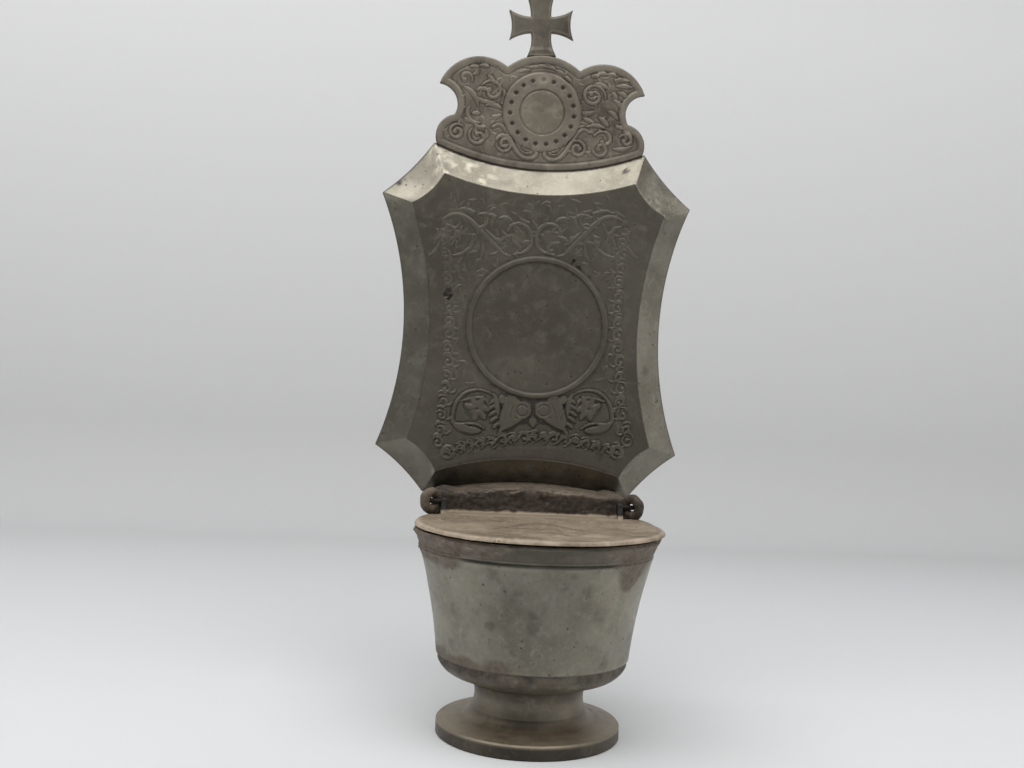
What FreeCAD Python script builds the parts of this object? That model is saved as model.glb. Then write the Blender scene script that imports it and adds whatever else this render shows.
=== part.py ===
"""Holy water stoup in cast pewter, in millimetres.

A round lidded bowl on a turned foot, with an eight-sided back plate, a cut-out crest and a
cross. The row stands on the XY plane: +Z is up, the wall is towards +Y and the lid opens
towards -Y. The origin is the middle of the footprint of the whole object.
"""
import FreeCAD, Part
import os
import re

import Sketcher

SIZES = {
    # foot and stem, all turned about the bowl's axis
    "foot_radius": 33.0,
    "foot_edge_height": 5.1,
    "foot_edge_chamfer": 0.4,
    "foot_waist_radius": 25.0,
    "foot_waist_height": 6.9,
    "foot_height": 10.0,
    "foot_wall": 2.2,
    "stem_radius": 20.6,
    "stem_hollow": 1.0,
    "stem_height": 8.9,
    "stem_wall": 3.0,
    # bowl
    "dish_knee_radius": 29.5,
    "dish_knee_height": 3.3,
    "dish_bend_radius": 32.6,
    "dish_bend_height": 5.6,
    "dish_bend_top": 7.9,
    "dish_radius": 34.0,
    "dish_height": 9.9,
    "bowl_wall": 2.0,
    "bowl_floor": 2.2,
    "step_width": 0.7,
    "wall_height": 37.6,
    "wall_hollow": 1.0,
    "line_radius": 42.0,
    "line_depth": 0.4,
    "line_width": 0.8,
    "rim_radius": 44.6,
    "rim_height": 6.2,
    "rim_flare": 0.25,
    # lid
    "lid_overhang": 0.4,
    "lid_thickness": 2.0,
    "lid_edge_round": 0.8,
    "lid_rear": 21.3,
    # hinge
    "hood_gap": 0.6,
    "hinge_lead": 0.1,
    "turning_gap": 0.35,
    "eye_inset": 0.95,
    "eye_radius": 3.25,
    "eye_wire": 1.1,
    "eye_turn": 45.0,
    "post_radius": 1.2,
    "peg_radius": 0.85,
    "peg_reach": 1.6,
    "lug_width": 1.8,
    "lug_foot": 3.6,
    "lug_round": 1.5,
    "lug_gap": 0.45,
    # hood
    "ledge_depth": 6.1,
    "ledge_arc": 4.4,
    "hood_wall": 2.4,
    "hood_round": 2.2,
    # back plate
    "wall_depth": 52.0,
    "plate_depth": 8.2,
    "plate_edge": 1.2,
    "plate_wall": 2.0,
    "plate_rim": 2.6,
    "plate_rise": 7.0,
    "plate_height": 139.4,
    "top_half": 42.4,
    "top_drop": 21.1,
    "top_side_half": 62.2,
    "foot_half": 41.4,
    "foot_rise": 18.2,
    "foot_side_half": 60.8,
    "side_hollow": 9.9,
    "top_hollow": 8.4,
    "foot_hollow": 5.2,
    "corner_hollow": 1.2,
    "field_top_half": 38.0,
    "field_top_margin": 13.3,
    "field_top_drop": 12.2,
    "field_top_side_half": 50.3,
    "field_foot_half": 36.7,
    "field_foot_margin": 9.2,
    "field_foot_rise": 12.1,
    "field_foot_side_half": 48.3,
    "field_side_hollow": 8.0,
    "field_top_hollow": 6.5,
    "field_foot_hollow": 6.0,
    "field_corner_hollow": 1.5,
    "ring_drop": 2.4,
    "ring_radius": 26.3,
    "ring_wire": 1.5,
    "ring_sunk": 0.4,
    # crest, heights above the middle of the plate's top edge
    "crest_thickness": 2.2,
    "crest_foot_half": 41.3,
    "crest_belly_half": 42.0,
    "crest_belly_height": 12.4,
    "crest_neck_half": 35.0,
    "crest_neck_height": 19.8,
    "crest_notch_half": 33.9,
    "crest_notch_height": 24.6,
    "crest_tip_half": 41.3,
    "crest_tip_height": 32.0,
    "crest_lobe_half": 27.0,
    "crest_lobe_height": 43.4,
    "crest_valley_half": 14.6,
    "medallion_height": 22.8,
    "hump_radius": 22.6,
    # cross, drawn about its own centre
    "cross_thickness": 2.0,
    "cross_lean": 3.0,
    "cross_arm": 13.0,
    "cross_arm_hollow": 1.2,
    "cross_tip_half": 6.2,
    "cross_waist_half": 3.1,
    "cross_bar_half": 3.8,
    "cross_rise": 12.4,
    "cross_foot_half": 6.4,
    # hanging eye in the hollow of the plate
    "hanger_drop": 31.4,
    "hanger_width": 12.0,
    "hanger_strap": 1.2,
    "hanger_inset": 0.3,
    "hanger_bridge": 14.0,
    "hanger_slope": 2.0,
    "hanger_foot": 5.0,
    "hanger_hole": 3.0,
}

DERIVED = {
    # heights and depths that several pieces share
    "stem_top": "foot_height + stem_height",
    "dish_top": "stem_top + dish_height",
    "step_radius": "dish_radius + step_width",
    "line_height": "dish_top + wall_height",
    "rim_top": "line_height + line_width + rim_height",
    "lid_top": "rim_top + lid_thickness",
    "lid_radius": "rim_radius + lid_overhang",
    "bowl_y": "(lid_radius - wall_depth) / 2",
    "wall_y": "(lid_radius + wall_depth) / 2",
    "hood_front": "lid_rear + hood_gap",
    "cover_front": "hood_front + ledge_depth",
    "hinge_y": "lid_rear + hinge_lead",
    "hinge_z": "lid_top + eye_radius + eye_wire + turning_gap",
    "eye_spread": "sqrt(rim_radius ^ 2 - hinge_y ^ 2) - eye_inset",
    "eye_reach": "eye_radius * cos(eye_turn) + eye_wire",
    "lug_outer": "eye_spread - eye_reach - lug_gap",
    "hood_half": "sqrt(rim_radius ^ 2 - (hood_front + ledge_arc) ^ 2)",
    "plate_foot": "rim_top + plate_rise",
    "plate_foot_middle": "plate_foot + foot_hollow",
    "plate_top": "plate_foot + plate_height",
    "plate_top_middle": "plate_top - top_hollow",
    "ring_height": "plate_foot + plate_height / 2 - ring_drop",
    "hanger_height": "plate_top_middle - hanger_drop",
    "medallion_z": "plate_top_middle + medallion_height",
    "hump_top": "medallion_z + hump_radius",
}

doc = FreeCAD.newDocument("stoup")
sheet = doc.addObject("Spreadsheet::Sheet", "Sizes")
KEPT = {}


# ---- sheet and expressions -------------------------------------------------------------

def bound(text):
    """Put the sheet's name before every alias in an expression."""
    names = set(SIZES) | set(DERIVED)
    return re.sub(r"[a-z][a-z_]*", lambda word: ("Sizes." + word[0]) if word[0] in names
                  else word[0], text)


def number(text):
    """Value of an expression over the sheet's aliases."""
    value = sheet.evalExpression(bound(text))
    return float(getattr(value, "Value", value))


def fill_sheet():
    row = 1
    for name, value in SIZES.items():
        sheet.set(f"A{row}", name)
        sheet.set(f"B{row}", str(value))
        sheet.setAlias(f"B{row}", name)
        row += 1
    doc.recompute()
    for name, formula in DERIVED.items():
        sheet.set(f"A{row}", name)
        sheet.set(f"B{row}", "=" + formula.replace("cos(eye_turn)", "cos(eye_turn * 1deg)"))
        sheet.setAlias(f"B{row}", name)
        row += 1
        doc.recompute()


def bind(thing, **properties):
    """Tie properties to the sheet; a double underscore stands for a dot."""
    for name, text in properties.items():
        thing.setExpression(name.replace("__", "."), bound(text))


def place(thing, x="0", y="0", z="0"):
    bind(thing, Placement__Base__x=x, Placement__Base__y=y, Placement__Base__z=z)


# ---- sketches ---------------------------------------------------------------------------

def new_body(name):
    body = doc.addObject("PartDesign::Body", name)
    body.Label = name
    KEPT[name] = body
    return body


def new_sketch(body, name, plane, height="0"):
    """Sketch on one of the body's own planes, moved along its normal by height."""
    sketch = body.newObject("Sketcher::SketchObject", name)
    support = [item for item in body.Origin.OriginFeatures if item.Role == plane]
    sketch.AttachmentSupport = [(support[0], "")]
    sketch.MapMode = "FlatFace"
    bind(sketch, AttachmentOffset__Base__z=height)
    return sketch


def fix_point(sketch, geometry, position, x, y):
    """Hold one point of a sketch at two expressions."""
    for kind, axis, text in (("DistanceX", -2, x), ("DistanceY", -1, y)):
        if text == "0":
            sketch.addConstraint(Sketcher.Constraint("PointOnObject", geometry, position, axis))
            continue
        rule = Sketcher.Constraint(kind, geometry, position, number(text))
        index = sketch.addConstraint(rule)
        sketch.setExpression(f"Constraints[{index}]", bound(text))


def draw_edge(sketch, start, corner):
    """Add a line or an arc from start to corner; give its index and its two end positions."""
    begin = FreeCAD.Vector(number(start[0]), number(start[1]), 0)
    end = FreeCAD.Vector(number(corner[0]), number(corner[1]), 0)
    if len(corner) == 2:
        return sketch.addGeometry(Part.LineSegment(begin, end)), 1, 2
    middle = FreeCAD.Vector(number(corner[2]), number(corner[3]), 0)
    turn = (middle - begin).cross(end - middle).z
    ends = (begin, end) if turn > 0 else (end, begin)
    index = sketch.addGeometry(Part.Arc(ends[0], middle, ends[1]))
    guide = sketch.addGeometry(Part.Point(middle), True)
    sketch.addConstraint(Sketcher.Constraint("PointOnObject", guide, 1, index))
    fix_point(sketch, guide, 1, corner[2], corner[3])
    return (index, 1, 2) if turn > 0 else (index, 2, 1)


def draw_outline(sketch, corners):
    """Closed outline through corners.

    Each corner is (x, y) for a straight edge that ends there, or (x, y, via_x, via_y) for an
    arc that ends there and passes through a point on the way.
    """
    edges = [draw_edge(sketch, corners[i - 1], corners[i]) for i in range(len(corners))]
    for i, (edge, _, tail) in enumerate(edges):
        following, head, _ = edges[(i + 1) % len(edges)]
        sketch.addConstraint(Sketcher.Constraint("Coincident", edge, tail, following, head))
        fix_point(sketch, edge, tail, corners[i][0], corners[i][1])


def flip(text):
    return "0" if text == "0" else f"-({text})"


def both_sides(right, crossing=()):
    """Outline that is the same on both sides of x = 0.

    right climbs the right-hand side; its first corner ends the edge that crosses below, and
    crossing is the way point of the edge that crosses above.
    """
    last = right[-1]
    corners = list(right) + [(flip(last[0]), last[1], *crossing)]
    for i in range(len(right) - 1, 0, -1):
        way = right[i][2:]
        way = (flip(way[0]), way[1]) if way else ()
        corners.append((flip(right[i - 1][0]), right[i - 1][1], *way))
    return corners


# ---- features ---------------------------------------------------------------------------

def pad(body, sketch, length):
    feature = body.newObject("PartDesign::Pad", sketch.Name + "Pad")
    feature.Profile = sketch
    bind(feature, Length=length)
    return feature


def pocket(body, sketch, length, reverse=False, through=False):
    feature = body.newObject("PartDesign::Pocket", sketch.Name + "Pocket")
    feature.Profile = sketch
    feature.Reversed = reverse
    if through:
        feature.Type = "ThroughAll"
        feature.Midplane = True
    else:
        bind(feature, Length=length)
    return feature


def loft(body, kind, name, sections):
    feature = body.newObject("PartDesign::" + kind, name)
    feature.Profile = sections[0]
    feature.Sections = sections[1:]
    feature.Ruled = True
    return feature


def round_edges(body, name, base, radius, chosen):
    """Fillet the edges of base whose middle point passes the test chosen."""
    doc.recompute()
    edges = []
    for i, edge in enumerate(base.Shape.Edges):
        first, last = edge.ParameterRange
        if chosen(edge, edge.valueAt((first + last) / 2)):
            edges.append(f"Edge{i + 1}")
    feature = body.newObject("PartDesign::Fillet", name)
    feature.Base = (base, edges)
    bind(feature, Radius=radius)
    return feature


def turned(name, corners):
    """Lathe-turned piece about the bowl's axis; corners are (radius, height) expressions."""
    body = new_body(name)
    sketch = new_sketch(body, name + "Profile", "XZ_Plane")
    draw_outline(sketch, corners)
    feature = body.newObject("PartDesign::Revolution", name + "Turning")
    feature.Profile = sketch
    feature.ReferenceAxis = (sketch, ["V_Axis"])
    feature.Angle = 360.0
    place(body, y="bowl_y")
    return body


# ---- foot, stem and bowl ----------------------------------------------------------------

def make_foot():
    edge_top = "foot_edge_height"
    under = "foot_height - foot_wall"
    turned("foot", [
        ("foot_radius - foot_wall", "0"),
        ("foot_radius", "0"),
        ("foot_radius", edge_top + " - foot_edge_chamfer"),
        ("foot_radius - foot_edge_chamfer", edge_top),
        ("stem_radius", "foot_height", "foot_waist_radius", "foot_waist_height"),
        ("0", "foot_height"),
        ("0", under),
        ("stem_radius - foot_wall", under),
        ("foot_radius - foot_wall", edge_top + " - foot_wall",
         "foot_waist_radius - foot_wall / 2", "foot_waist_height - foot_wall"),
    ])


def make_stem():
    turned("stem", [
        ("stem_radius - stem_wall", "foot_height"),
        ("stem_radius", "foot_height"),
        ("stem_radius", "stem_top",
         "stem_radius - stem_hollow", "foot_height + stem_height / 2"),
        ("stem_radius - stem_wall", "stem_top"),
    ])


def make_bowl_base():
    turned("bowl_base", [
        ("0", "stem_top"),
        ("stem_radius", "stem_top"),
        ("dish_knee_radius", "stem_top + dish_knee_height"),
        ("dish_radius", "stem_top + dish_bend_top",
         "dish_bend_radius", "stem_top + dish_bend_height"),
        ("dish_radius", "dish_top"),
        ("dish_radius - bowl_wall", "dish_top"),
        ("dish_radius - bowl_wall", "stem_top + dish_bend_top"),
        ("dish_knee_radius - bowl_wall / 2", "stem_top + dish_knee_height + bowl_wall",
         "dish_bend_radius - bowl_wall * cos(45deg)",
         "stem_top + dish_bend_height + bowl_wall * sin(45deg)"),
        ("stem_radius", "stem_top + bowl_floor"),
        ("0", "stem_top + bowl_floor"),
    ])


def make_bowl_body():
    wall_middle = "(step_radius + line_radius) / 2 - wall_hollow"
    wall_half = "dish_top + wall_height / 2"
    rim_foot = "line_height + line_width"
    flare = "(line_radius + rim_radius) / 2 - rim_flare"
    turned("bowl_body", [
        ("step_radius", "dish_top"),
        ("line_radius", "line_height", wall_middle, wall_half),
        ("line_radius - line_depth", "line_height + line_width / 2"),
        ("line_radius", rim_foot),
        ("rim_radius", "rim_top", flare, rim_foot + " + rim_height / 2"),
        ("rim_radius - bowl_wall", "rim_top"),
        ("line_radius - bowl_wall", "line_height",
         flare + " - bowl_wall - line_depth / 2", rim_foot + " + rim_height / 2"),
        ("dish_radius - bowl_wall", "dish_top", wall_middle + " - bowl_wall", wall_half),
    ])


# ---- lid and hinge ----------------------------------------------------------------------

def make_lid():
    body = new_body("lid")
    plan = new_sketch(body, "lidPlan", "XY_Plane")
    corner = "sqrt(lid_radius ^ 2 - lid_rear ^ 2)"
    draw_outline(plan, [
        (corner, "lid_rear", "0", "-lid_radius"),
        (flip(corner), "lid_rear"),
    ])
    plate = pad(body, plan, "lid_thickness")
    top = number("lid_thickness")

    def on_round_top(edge, middle):
        return abs(middle.z - top) < 0.01 and edge.Curve.TypeId == "Part::GeomCircle"

    round_edges(body, "lidRounding", plate, "lid_edge_round", on_round_top)
    place(body, y="bowl_y", z="rim_top")


def make_lid_peg(name, side):
    """Lug on the lid with a peg through the ring eye; side is 1 at the right, -1 at the left."""
    lug = doc.addObject("PartDesign::Body", name + "_lug")
    face = new_sketch(lug, name + "Face", "YZ_Plane")
    draw_outline(face, [
        ("-hinge_lead", "lid_top - hinge_z"),
        ("lug_round", "0"),
        ("-lug_round", "0", "0", "lug_round"),
        ("-lug_foot", "lid_top - hinge_z"),
    ])
    plate = pad(lug, face, "lug_width")
    plate.Midplane = True
    place(lug, x=f"{side} * (lug_outer - lug_width / 2)", y="bowl_y + hinge_y", z="hinge_z")
    pin = doc.addObject("Part::Cylinder", name + "_pin")
    pin.Placement.Rotation = FreeCAD.Rotation(FreeCAD.Vector(0, 1, 0), side * 90)
    bind(pin, Radius="peg_radius", Height="eye_spread + peg_reach - lug_outer")
    place(pin, x=f"{side} * lug_outer", y="bowl_y + hinge_y", z="hinge_z")
    tip = doc.addObject("Part::Sphere", name + "_tip")
    bind(tip, Radius="peg_radius")
    place(tip, x=f"{side} * (eye_spread + peg_reach)", y="bowl_y + hinge_y", z="hinge_z")
    peg = doc.addObject("Part::MultiFuse", name)
    peg.Shapes = [lug, pin, tip]
    peg.Label = name
    KEPT[name] = peg


def make_hinge_eye(name, side):
    """Ring eye turned towards the front, on a post at its rear inner side."""
    ring = doc.addObject("Part::Torus", name + "_ring")
    upright = FreeCAD.Rotation(FreeCAD.Vector(0, 1, 0), 90)
    turn = FreeCAD.Rotation(FreeCAD.Vector(0, 0, 1), side * number("eye_turn"))
    ring.Placement.Rotation = turn.multiply(upright)
    bind(ring, Radius1="eye_radius", Radius2="eye_wire")
    place(ring, x=f"{side} * eye_spread", y="bowl_y + hinge_y", z="hinge_z")
    post = doc.addObject("Part::Cylinder", name + "_post")
    drop = "eye_radius * cos(45deg)"
    bind(post, Radius="post_radius", Height=f"hinge_z - {drop} - lid_top")
    place(post, x=f"{side} * (eye_spread - {drop} * sin(eye_turn * 1deg))",
          y=f"bowl_y + hinge_y + {drop} * cos(eye_turn * 1deg)", z="lid_top")
    eye = doc.addObject("Part::Fuse", name)
    eye.Base = ring
    eye.Tool = post
    eye.Label = name
    KEPT[name] = eye


def on_rim(text):
    """Depth at which the bowl's rim has the given half width."""
    return f"sqrt(rim_radius ^ 2 - ({text}) ^ 2)"


def make_rear_hood():
    """Ledge level with the lid, and a raised cover that carries the back plate."""
    body = new_body("rear_hood")
    ledge = new_sketch(body, "hoodLedge", "XY_Plane")
    way = f"({on_rim('hood_front')} + hood_half) / 2"
    draw_outline(ledge, both_sides([
        (on_rim("hood_front"), "hood_front"),
        ("hood_half", "hood_front + ledge_arc", way, on_rim(way)),
        ("hood_half", "wall_depth"),
    ]))
    pad(body, ledge, "lid_thickness")
    cover = new_sketch(body, "hoodCover", "XY_Plane")
    draw_outline(cover, both_sides([("hood_half", "cover_front"), ("hood_half", "wall_depth")]))
    pad(body, cover, "plate_foot_middle + foot_hollow - rim_top")
    crown = new_sketch(body, "hoodCrown", "XZ_Plane")
    draw_outline(crown, both_sides([
        ("foot_half", "plate_foot - rim_top", "0", "plate_foot_middle - rim_top"),
        ("foot_half", "plate_foot_middle + 2 * foot_hollow - rim_top"),
    ]))
    arch = pocket(body, crown, "", through=True)
    front = number("cover_front")
    ledge_top = number("lid_thickness")

    def on_front_top(edge, middle):
        on_middle = abs(middle.x) < 1
        return on_middle and abs(middle.y - front) < 0.01 and middle.z > 2 * ledge_top

    round_edges(body, "hoodRounding", arch, "hood_round", on_front_top)
    hollow = new_sketch(body, "hoodHollow", "XY_Plane")
    inner_front = "cover_front + hood_wall"
    inner_half = f"sqrt((rim_radius - bowl_wall) ^ 2 - ({inner_front}) ^ 2)"
    draw_outline(hollow, [
        (inner_half, inner_front),
        (flip(inner_half), inner_front, "0", "rim_radius - bowl_wall"),
    ])
    pocket(body, hollow, "plate_foot - rim_top - hood_wall", reverse=True)
    place(body, y="bowl_y", z="rim_top")


# ---- back plate -------------------------------------------------------------------------

def plate_outline(inset="0"):
    """Outer outline of the plate, with its eight hollow sides."""
    foot_side = f"plate_foot + foot_rise + {inset} / 2"
    top_side = f"plate_top - top_drop - {inset} / 2"
    return both_sides([
        (f"foot_half - {inset} / 2", f"plate_foot + {inset}",
         "0", f"plate_foot_middle + {inset}"),
        (f"foot_side_half - {inset}", foot_side,
         f"(foot_half + foot_side_half) / 2 - {inset} * 0.75 - corner_hollow * 0.7",
         f"plate_foot + foot_rise / 2 + {inset} * 0.75 + corner_hollow * 0.7"),
        (f"top_side_half - {inset}", top_side,
         f"(foot_side_half + top_side_half) / 2 - side_hollow - {inset}",
         "(plate_foot + foot_rise + plate_top - top_drop) / 2"),
        (f"top_half - {inset} / 2", f"plate_top - {inset}",
         f"(top_half + top_side_half) / 2 - {inset} * 0.75 - corner_hollow * 0.7",
         f"plate_top - top_drop / 2 - {inset} * 0.75 - corner_hollow * 0.7"),
    ], crossing=("0", f"plate_top_middle - {inset}"))


def field_outline():
    """Outline of the raised field, inside the bevel."""
    low = "(plate_foot + field_foot_margin)"
    high = "(plate_top - field_top_margin)"
    return both_sides([
        ("field_foot_half", low, "0", low + " + field_foot_hollow"),
        ("field_foot_side_half", low + " + field_foot_rise",
         "(field_foot_half + field_foot_side_half) / 2 - field_corner_hollow * 0.7",
         low + " + field_foot_rise / 2 + field_corner_hollow * 0.7"),
        ("field_top_side_half", high + " - field_top_drop",
         "(field_foot_side_half + field_top_side_half) / 2 - field_side_hollow",
         f"({low} + field_foot_rise + {high} - field_top_drop) / 2"),
        ("field_top_half", high,
         "(field_top_half + field_top_side_half) / 2 - field_corner_hollow * 0.7",
         high + " - field_top_drop / 2 - field_corner_hollow * 0.7"),
    ], crossing=("0", high + " - field_top_hollow"))


def make_back_plate():
    body = new_body("back_plate")
    edge = new_sketch(body, "plateEdge", "XZ_Plane")
    draw_outline(edge, plate_outline())
    pad(body, edge, "plate_edge")
    rim = new_sketch(body, "plateRim", "XZ_Plane", "plate_edge")
    draw_outline(rim, plate_outline())
    field = new_sketch(body, "plateField", "XZ_Plane", "plate_depth")
    draw_outline(field, field_outline())
    loft(body, "AdditiveLoft", "plateBevel", [rim, field])
    mouth = new_sketch(body, "plateMouth", "XZ_Plane")
    draw_outline(mouth, plate_outline("plate_rim"))
    ceiling = new_sketch(body, "plateCeiling", "XZ_Plane", "plate_depth - plate_wall")
    draw_outline(ceiling, field_outline())
    loft(body, "SubtractiveLoft", "plateHollow", [mouth, ceiling])
    ring = body.newObject("PartDesign::AdditiveTorus", "plateRing")
    ring.AttachmentSupport = edge.AttachmentSupport
    ring.MapMode = "FlatFace"
    bind(ring, Radius1="ring_radius", Radius2="ring_wire",
         AttachmentOffset__Base__y="ring_height",
         AttachmentOffset__Base__z="plate_depth - ring_sunk")
    place(body, y="wall_y")


def make_crest():
    """Flat cut-out casting; its lower edge follows the plate's hollow top edge."""
    def up(name):
        return f"plate_top_middle + {name}"

    arc_radius = "((top_half ^ 2 + top_hollow ^ 2) / (2 * top_hollow))"
    foot = (f"plate_top_middle + {arc_radius} - sqrt({arc_radius} ^ 2 - crest_foot_half ^ 2)")
    valley = "medallion_z + sqrt(hump_radius ^ 2 - crest_valley_half ^ 2)"
    body = new_body("crest")
    face = new_sketch(body, "crestFace", "XZ_Plane")
    draw_outline(face, both_sides([
        ("crest_foot_half", foot, "0", "plate_top_middle"),
        ("crest_neck_half", up("crest_neck_height"),
         "crest_belly_half", up("crest_belly_height")),
        ("crest_tip_half", up("crest_tip_height"),
         "crest_notch_half", up("crest_notch_height")),
        ("crest_valley_half", valley, "crest_lobe_half", up("crest_lobe_height")),
    ], crossing=("0", "hump_top")))
    pad(body, face, "crest_thickness")
    place(body, y="wall_y")


def make_cross():
    """Cross with hollow-ended, spreading arms.

    Its foot sits on the crest's round hump, so it is drawn about the middle of the medallion
    and leans by turning about that point.
    """
    foot = "sqrt(hump_radius ^ 2 - cross_foot_half ^ 2)"
    centre = "hump_radius + cross_rise"
    middle = "(cross_arm + cross_bar_half) / 2"
    spread = "(cross_waist_half + (cross_tip_half - cross_waist_half) / 4)"
    body = new_body("cross")
    face = new_sketch(body, "crossFace", "XZ_Plane")
    draw_outline(face, both_sides([
        ("cross_foot_half", foot, "0", "hump_radius"),
        ("cross_bar_half", f"{centre} - cross_waist_half",
         "cross_bar_half + (cross_foot_half - cross_bar_half) / 4",
         f"({centre} - cross_waist_half + {foot}) / 2"),
        ("cross_arm", f"{centre} - cross_tip_half", middle, f"{centre} - {spread}"),
        ("cross_arm", f"{centre} + cross_tip_half", "cross_arm - cross_arm_hollow", centre),
        ("cross_bar_half", f"{centre} + cross_waist_half", middle, f"{centre} + {spread}"),
        ("cross_tip_half", f"{centre} + cross_arm", spread, f"{centre} + {middle}"),
    ], crossing=("0", f"{centre} + cross_arm - cross_arm_hollow")))
    pad(body, face, "cross_thickness")
    body.Placement.Rotation = FreeCAD.Rotation(FreeCAD.Vector(0, -1, 0), number("cross_lean"))
    place(body, y="wall_y", z="medallion_z")


def make_hanging_eye():
    """Bent strap on the back of the field, with a hole for a nail or hook."""
    body = new_body("hanging_eye")
    side = new_sketch(body, "eyeSide", "YZ_Plane")
    back = "plate_depth - plate_wall"
    low = f"-({back})"
    bridge = "hanger_bridge / 2"
    bend = "hanger_bridge / 2 + hanger_slope"
    tip = f"{bend} + hanger_foot"
    upper = [
        (low, tip),
        (f"{low} + hanger_strap", tip),
        (f"{low} + hanger_strap", f"{bend} + hanger_strap / 2"),
        ("-hanger_inset", f"{bridge} + hanger_strap / 2"),
    ]
    lower = [(x, flip(z)) for x, z in reversed(upper)]
    inside = [
        (low, flip(bend)),
        ("-hanger_inset - hanger_strap", flip(bridge)),
        ("-hanger_inset - hanger_strap", bridge),
        (low, bend),
    ]
    draw_outline(side, upper + lower + inside)
    strap = pad(body, side, "hanger_width")
    strap.Midplane = True
    hole = new_sketch(body, "eyeHole", "XZ_Plane")
    circle = hole.addGeometry(Part.Circle(FreeCAD.Vector(0, 0, 0), FreeCAD.Vector(0, 0, 1),
                                          number("hanger_hole")))
    hole.addConstraint(Sketcher.Constraint("Coincident", circle, 3, -1, 1))
    size = hole.addConstraint(Sketcher.Constraint("Radius", circle, number("hanger_hole")))
    hole.setExpression(f"Constraints[{size}]", bound("hanger_hole"))
    pocket(body, hole, "", through=True)
    place(body, y="wall_y", z="hanger_height")


# ---- build, check and export --------------------------------------------------------------

def build():
    fill_sheet()
    make_foot()
    make_stem()
    make_bowl_base()
    make_bowl_body()
    make_rear_hood()
    make_lid()
    for side, hand in ((-1, "left"), (1, "right")):
        make_hinge_eye(f"hinge_eye_{hand}", side)
        make_lid_peg(f"lid_peg_{hand}", side)
    make_back_plate()
    make_crest()
    make_cross()
    make_hanging_eye()
    doc.recompute()


def check():
    """Stop before anything is written if a feature or a sub-part is broken."""
    for thing in doc.Objects:
        if "Invalid" in thing.State or "Error" in thing.State:
            raise RuntimeError(f"{thing.Name}: {thing.State}")
    for name, thing in KEPT.items():
        shape = thing.Shape
        if shape.isNull() or not shape.isValid() or not shape.Solids:
            raise RuntimeError(f"{name}: no valid solid")


def export():
    os.makedirs("parts", exist_ok=True)
    for name, thing in KEPT.items():
        thing.Shape.exportStep(f"parts/{name}.step")
        box = thing.Shape.optimalBoundingBox()
        print(f"{name}: {len(thing.Shape.Solids)} solid, {thing.Shape.Volume / 1000:.2f} cm3, "
              f"x {box.XMin:.1f}..{box.XMax:.1f} y {box.YMin:.1f}..{box.YMax:.1f} "
              f"z {box.ZMin:.1f}..{box.ZMax:.1f}")


build()
check()
export()
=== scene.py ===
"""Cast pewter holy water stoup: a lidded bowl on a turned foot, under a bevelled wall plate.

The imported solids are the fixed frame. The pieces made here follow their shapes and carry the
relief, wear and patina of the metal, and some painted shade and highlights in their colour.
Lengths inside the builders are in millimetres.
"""
import math

import bpy
import numpy as np
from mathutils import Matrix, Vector


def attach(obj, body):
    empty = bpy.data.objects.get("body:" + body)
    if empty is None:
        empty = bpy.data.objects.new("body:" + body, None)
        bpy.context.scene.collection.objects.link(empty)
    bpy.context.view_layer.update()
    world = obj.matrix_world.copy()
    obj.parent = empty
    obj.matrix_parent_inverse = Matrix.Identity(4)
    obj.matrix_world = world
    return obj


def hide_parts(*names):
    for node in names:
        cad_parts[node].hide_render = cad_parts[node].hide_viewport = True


bl_info = {
    "name": "Holy water stoup",
    "version": (1, 0, 0),
    "blender": (4, 5, 0),
    "location": "View3D > Sidebar > Stoup",
    "description": "Builds a cast pewter holy water stoup around its packed solids",
    "category": "Add Mesh",
}

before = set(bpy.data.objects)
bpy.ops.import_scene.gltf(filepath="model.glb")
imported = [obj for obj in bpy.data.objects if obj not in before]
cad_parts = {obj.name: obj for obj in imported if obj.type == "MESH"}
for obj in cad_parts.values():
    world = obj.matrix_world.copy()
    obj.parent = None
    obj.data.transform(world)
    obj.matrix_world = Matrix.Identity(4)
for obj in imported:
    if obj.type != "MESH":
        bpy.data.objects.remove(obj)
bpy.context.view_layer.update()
MM = 0.001
AXIS_Y = -3.5          # the bowl's axis, front to back
WALL_Y = 48.5          # the wall behind the plate
FIELD_Y = 40.3         # front of the plate's sunk field
CREST_Y = 46.3         # front of the crest
CROSS_Y = 46.5         # front of the cross
EDGE_Y = 47.3          # front of the plate's sharp outer edge
FOOT_SHIFT = 0.6       # the foot and the stem sit this far to the left of the axis
FOOT_TOP = 10.0        # heights of the turned pieces, from the foot up
STEM_TOP = 18.9
STEP_Z = 28.8          # lower step of the bowl's wall
LINE_Z = 66.8          # turned line below the rim
RIM_Z = 73.4
LID_FOOT = 74.1        # underside and top of the lid
LID_TOP = 75.3
PLATE_MIDDLE = (0.0, 148.0)
RING_MIDDLE = (1.3, 147.7)
RING_RADIUS = 27.1     # of the middle of the ring's wire
RING_Y = 40.7
CREST_MIDDLE = (0.0, 234.2)
FIELD_LEAN = math.radians(2.2)    # the ornament sits turned by this much on the field
CROSS_LEAN = math.radians(3.0)


# Plane geometry.

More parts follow.
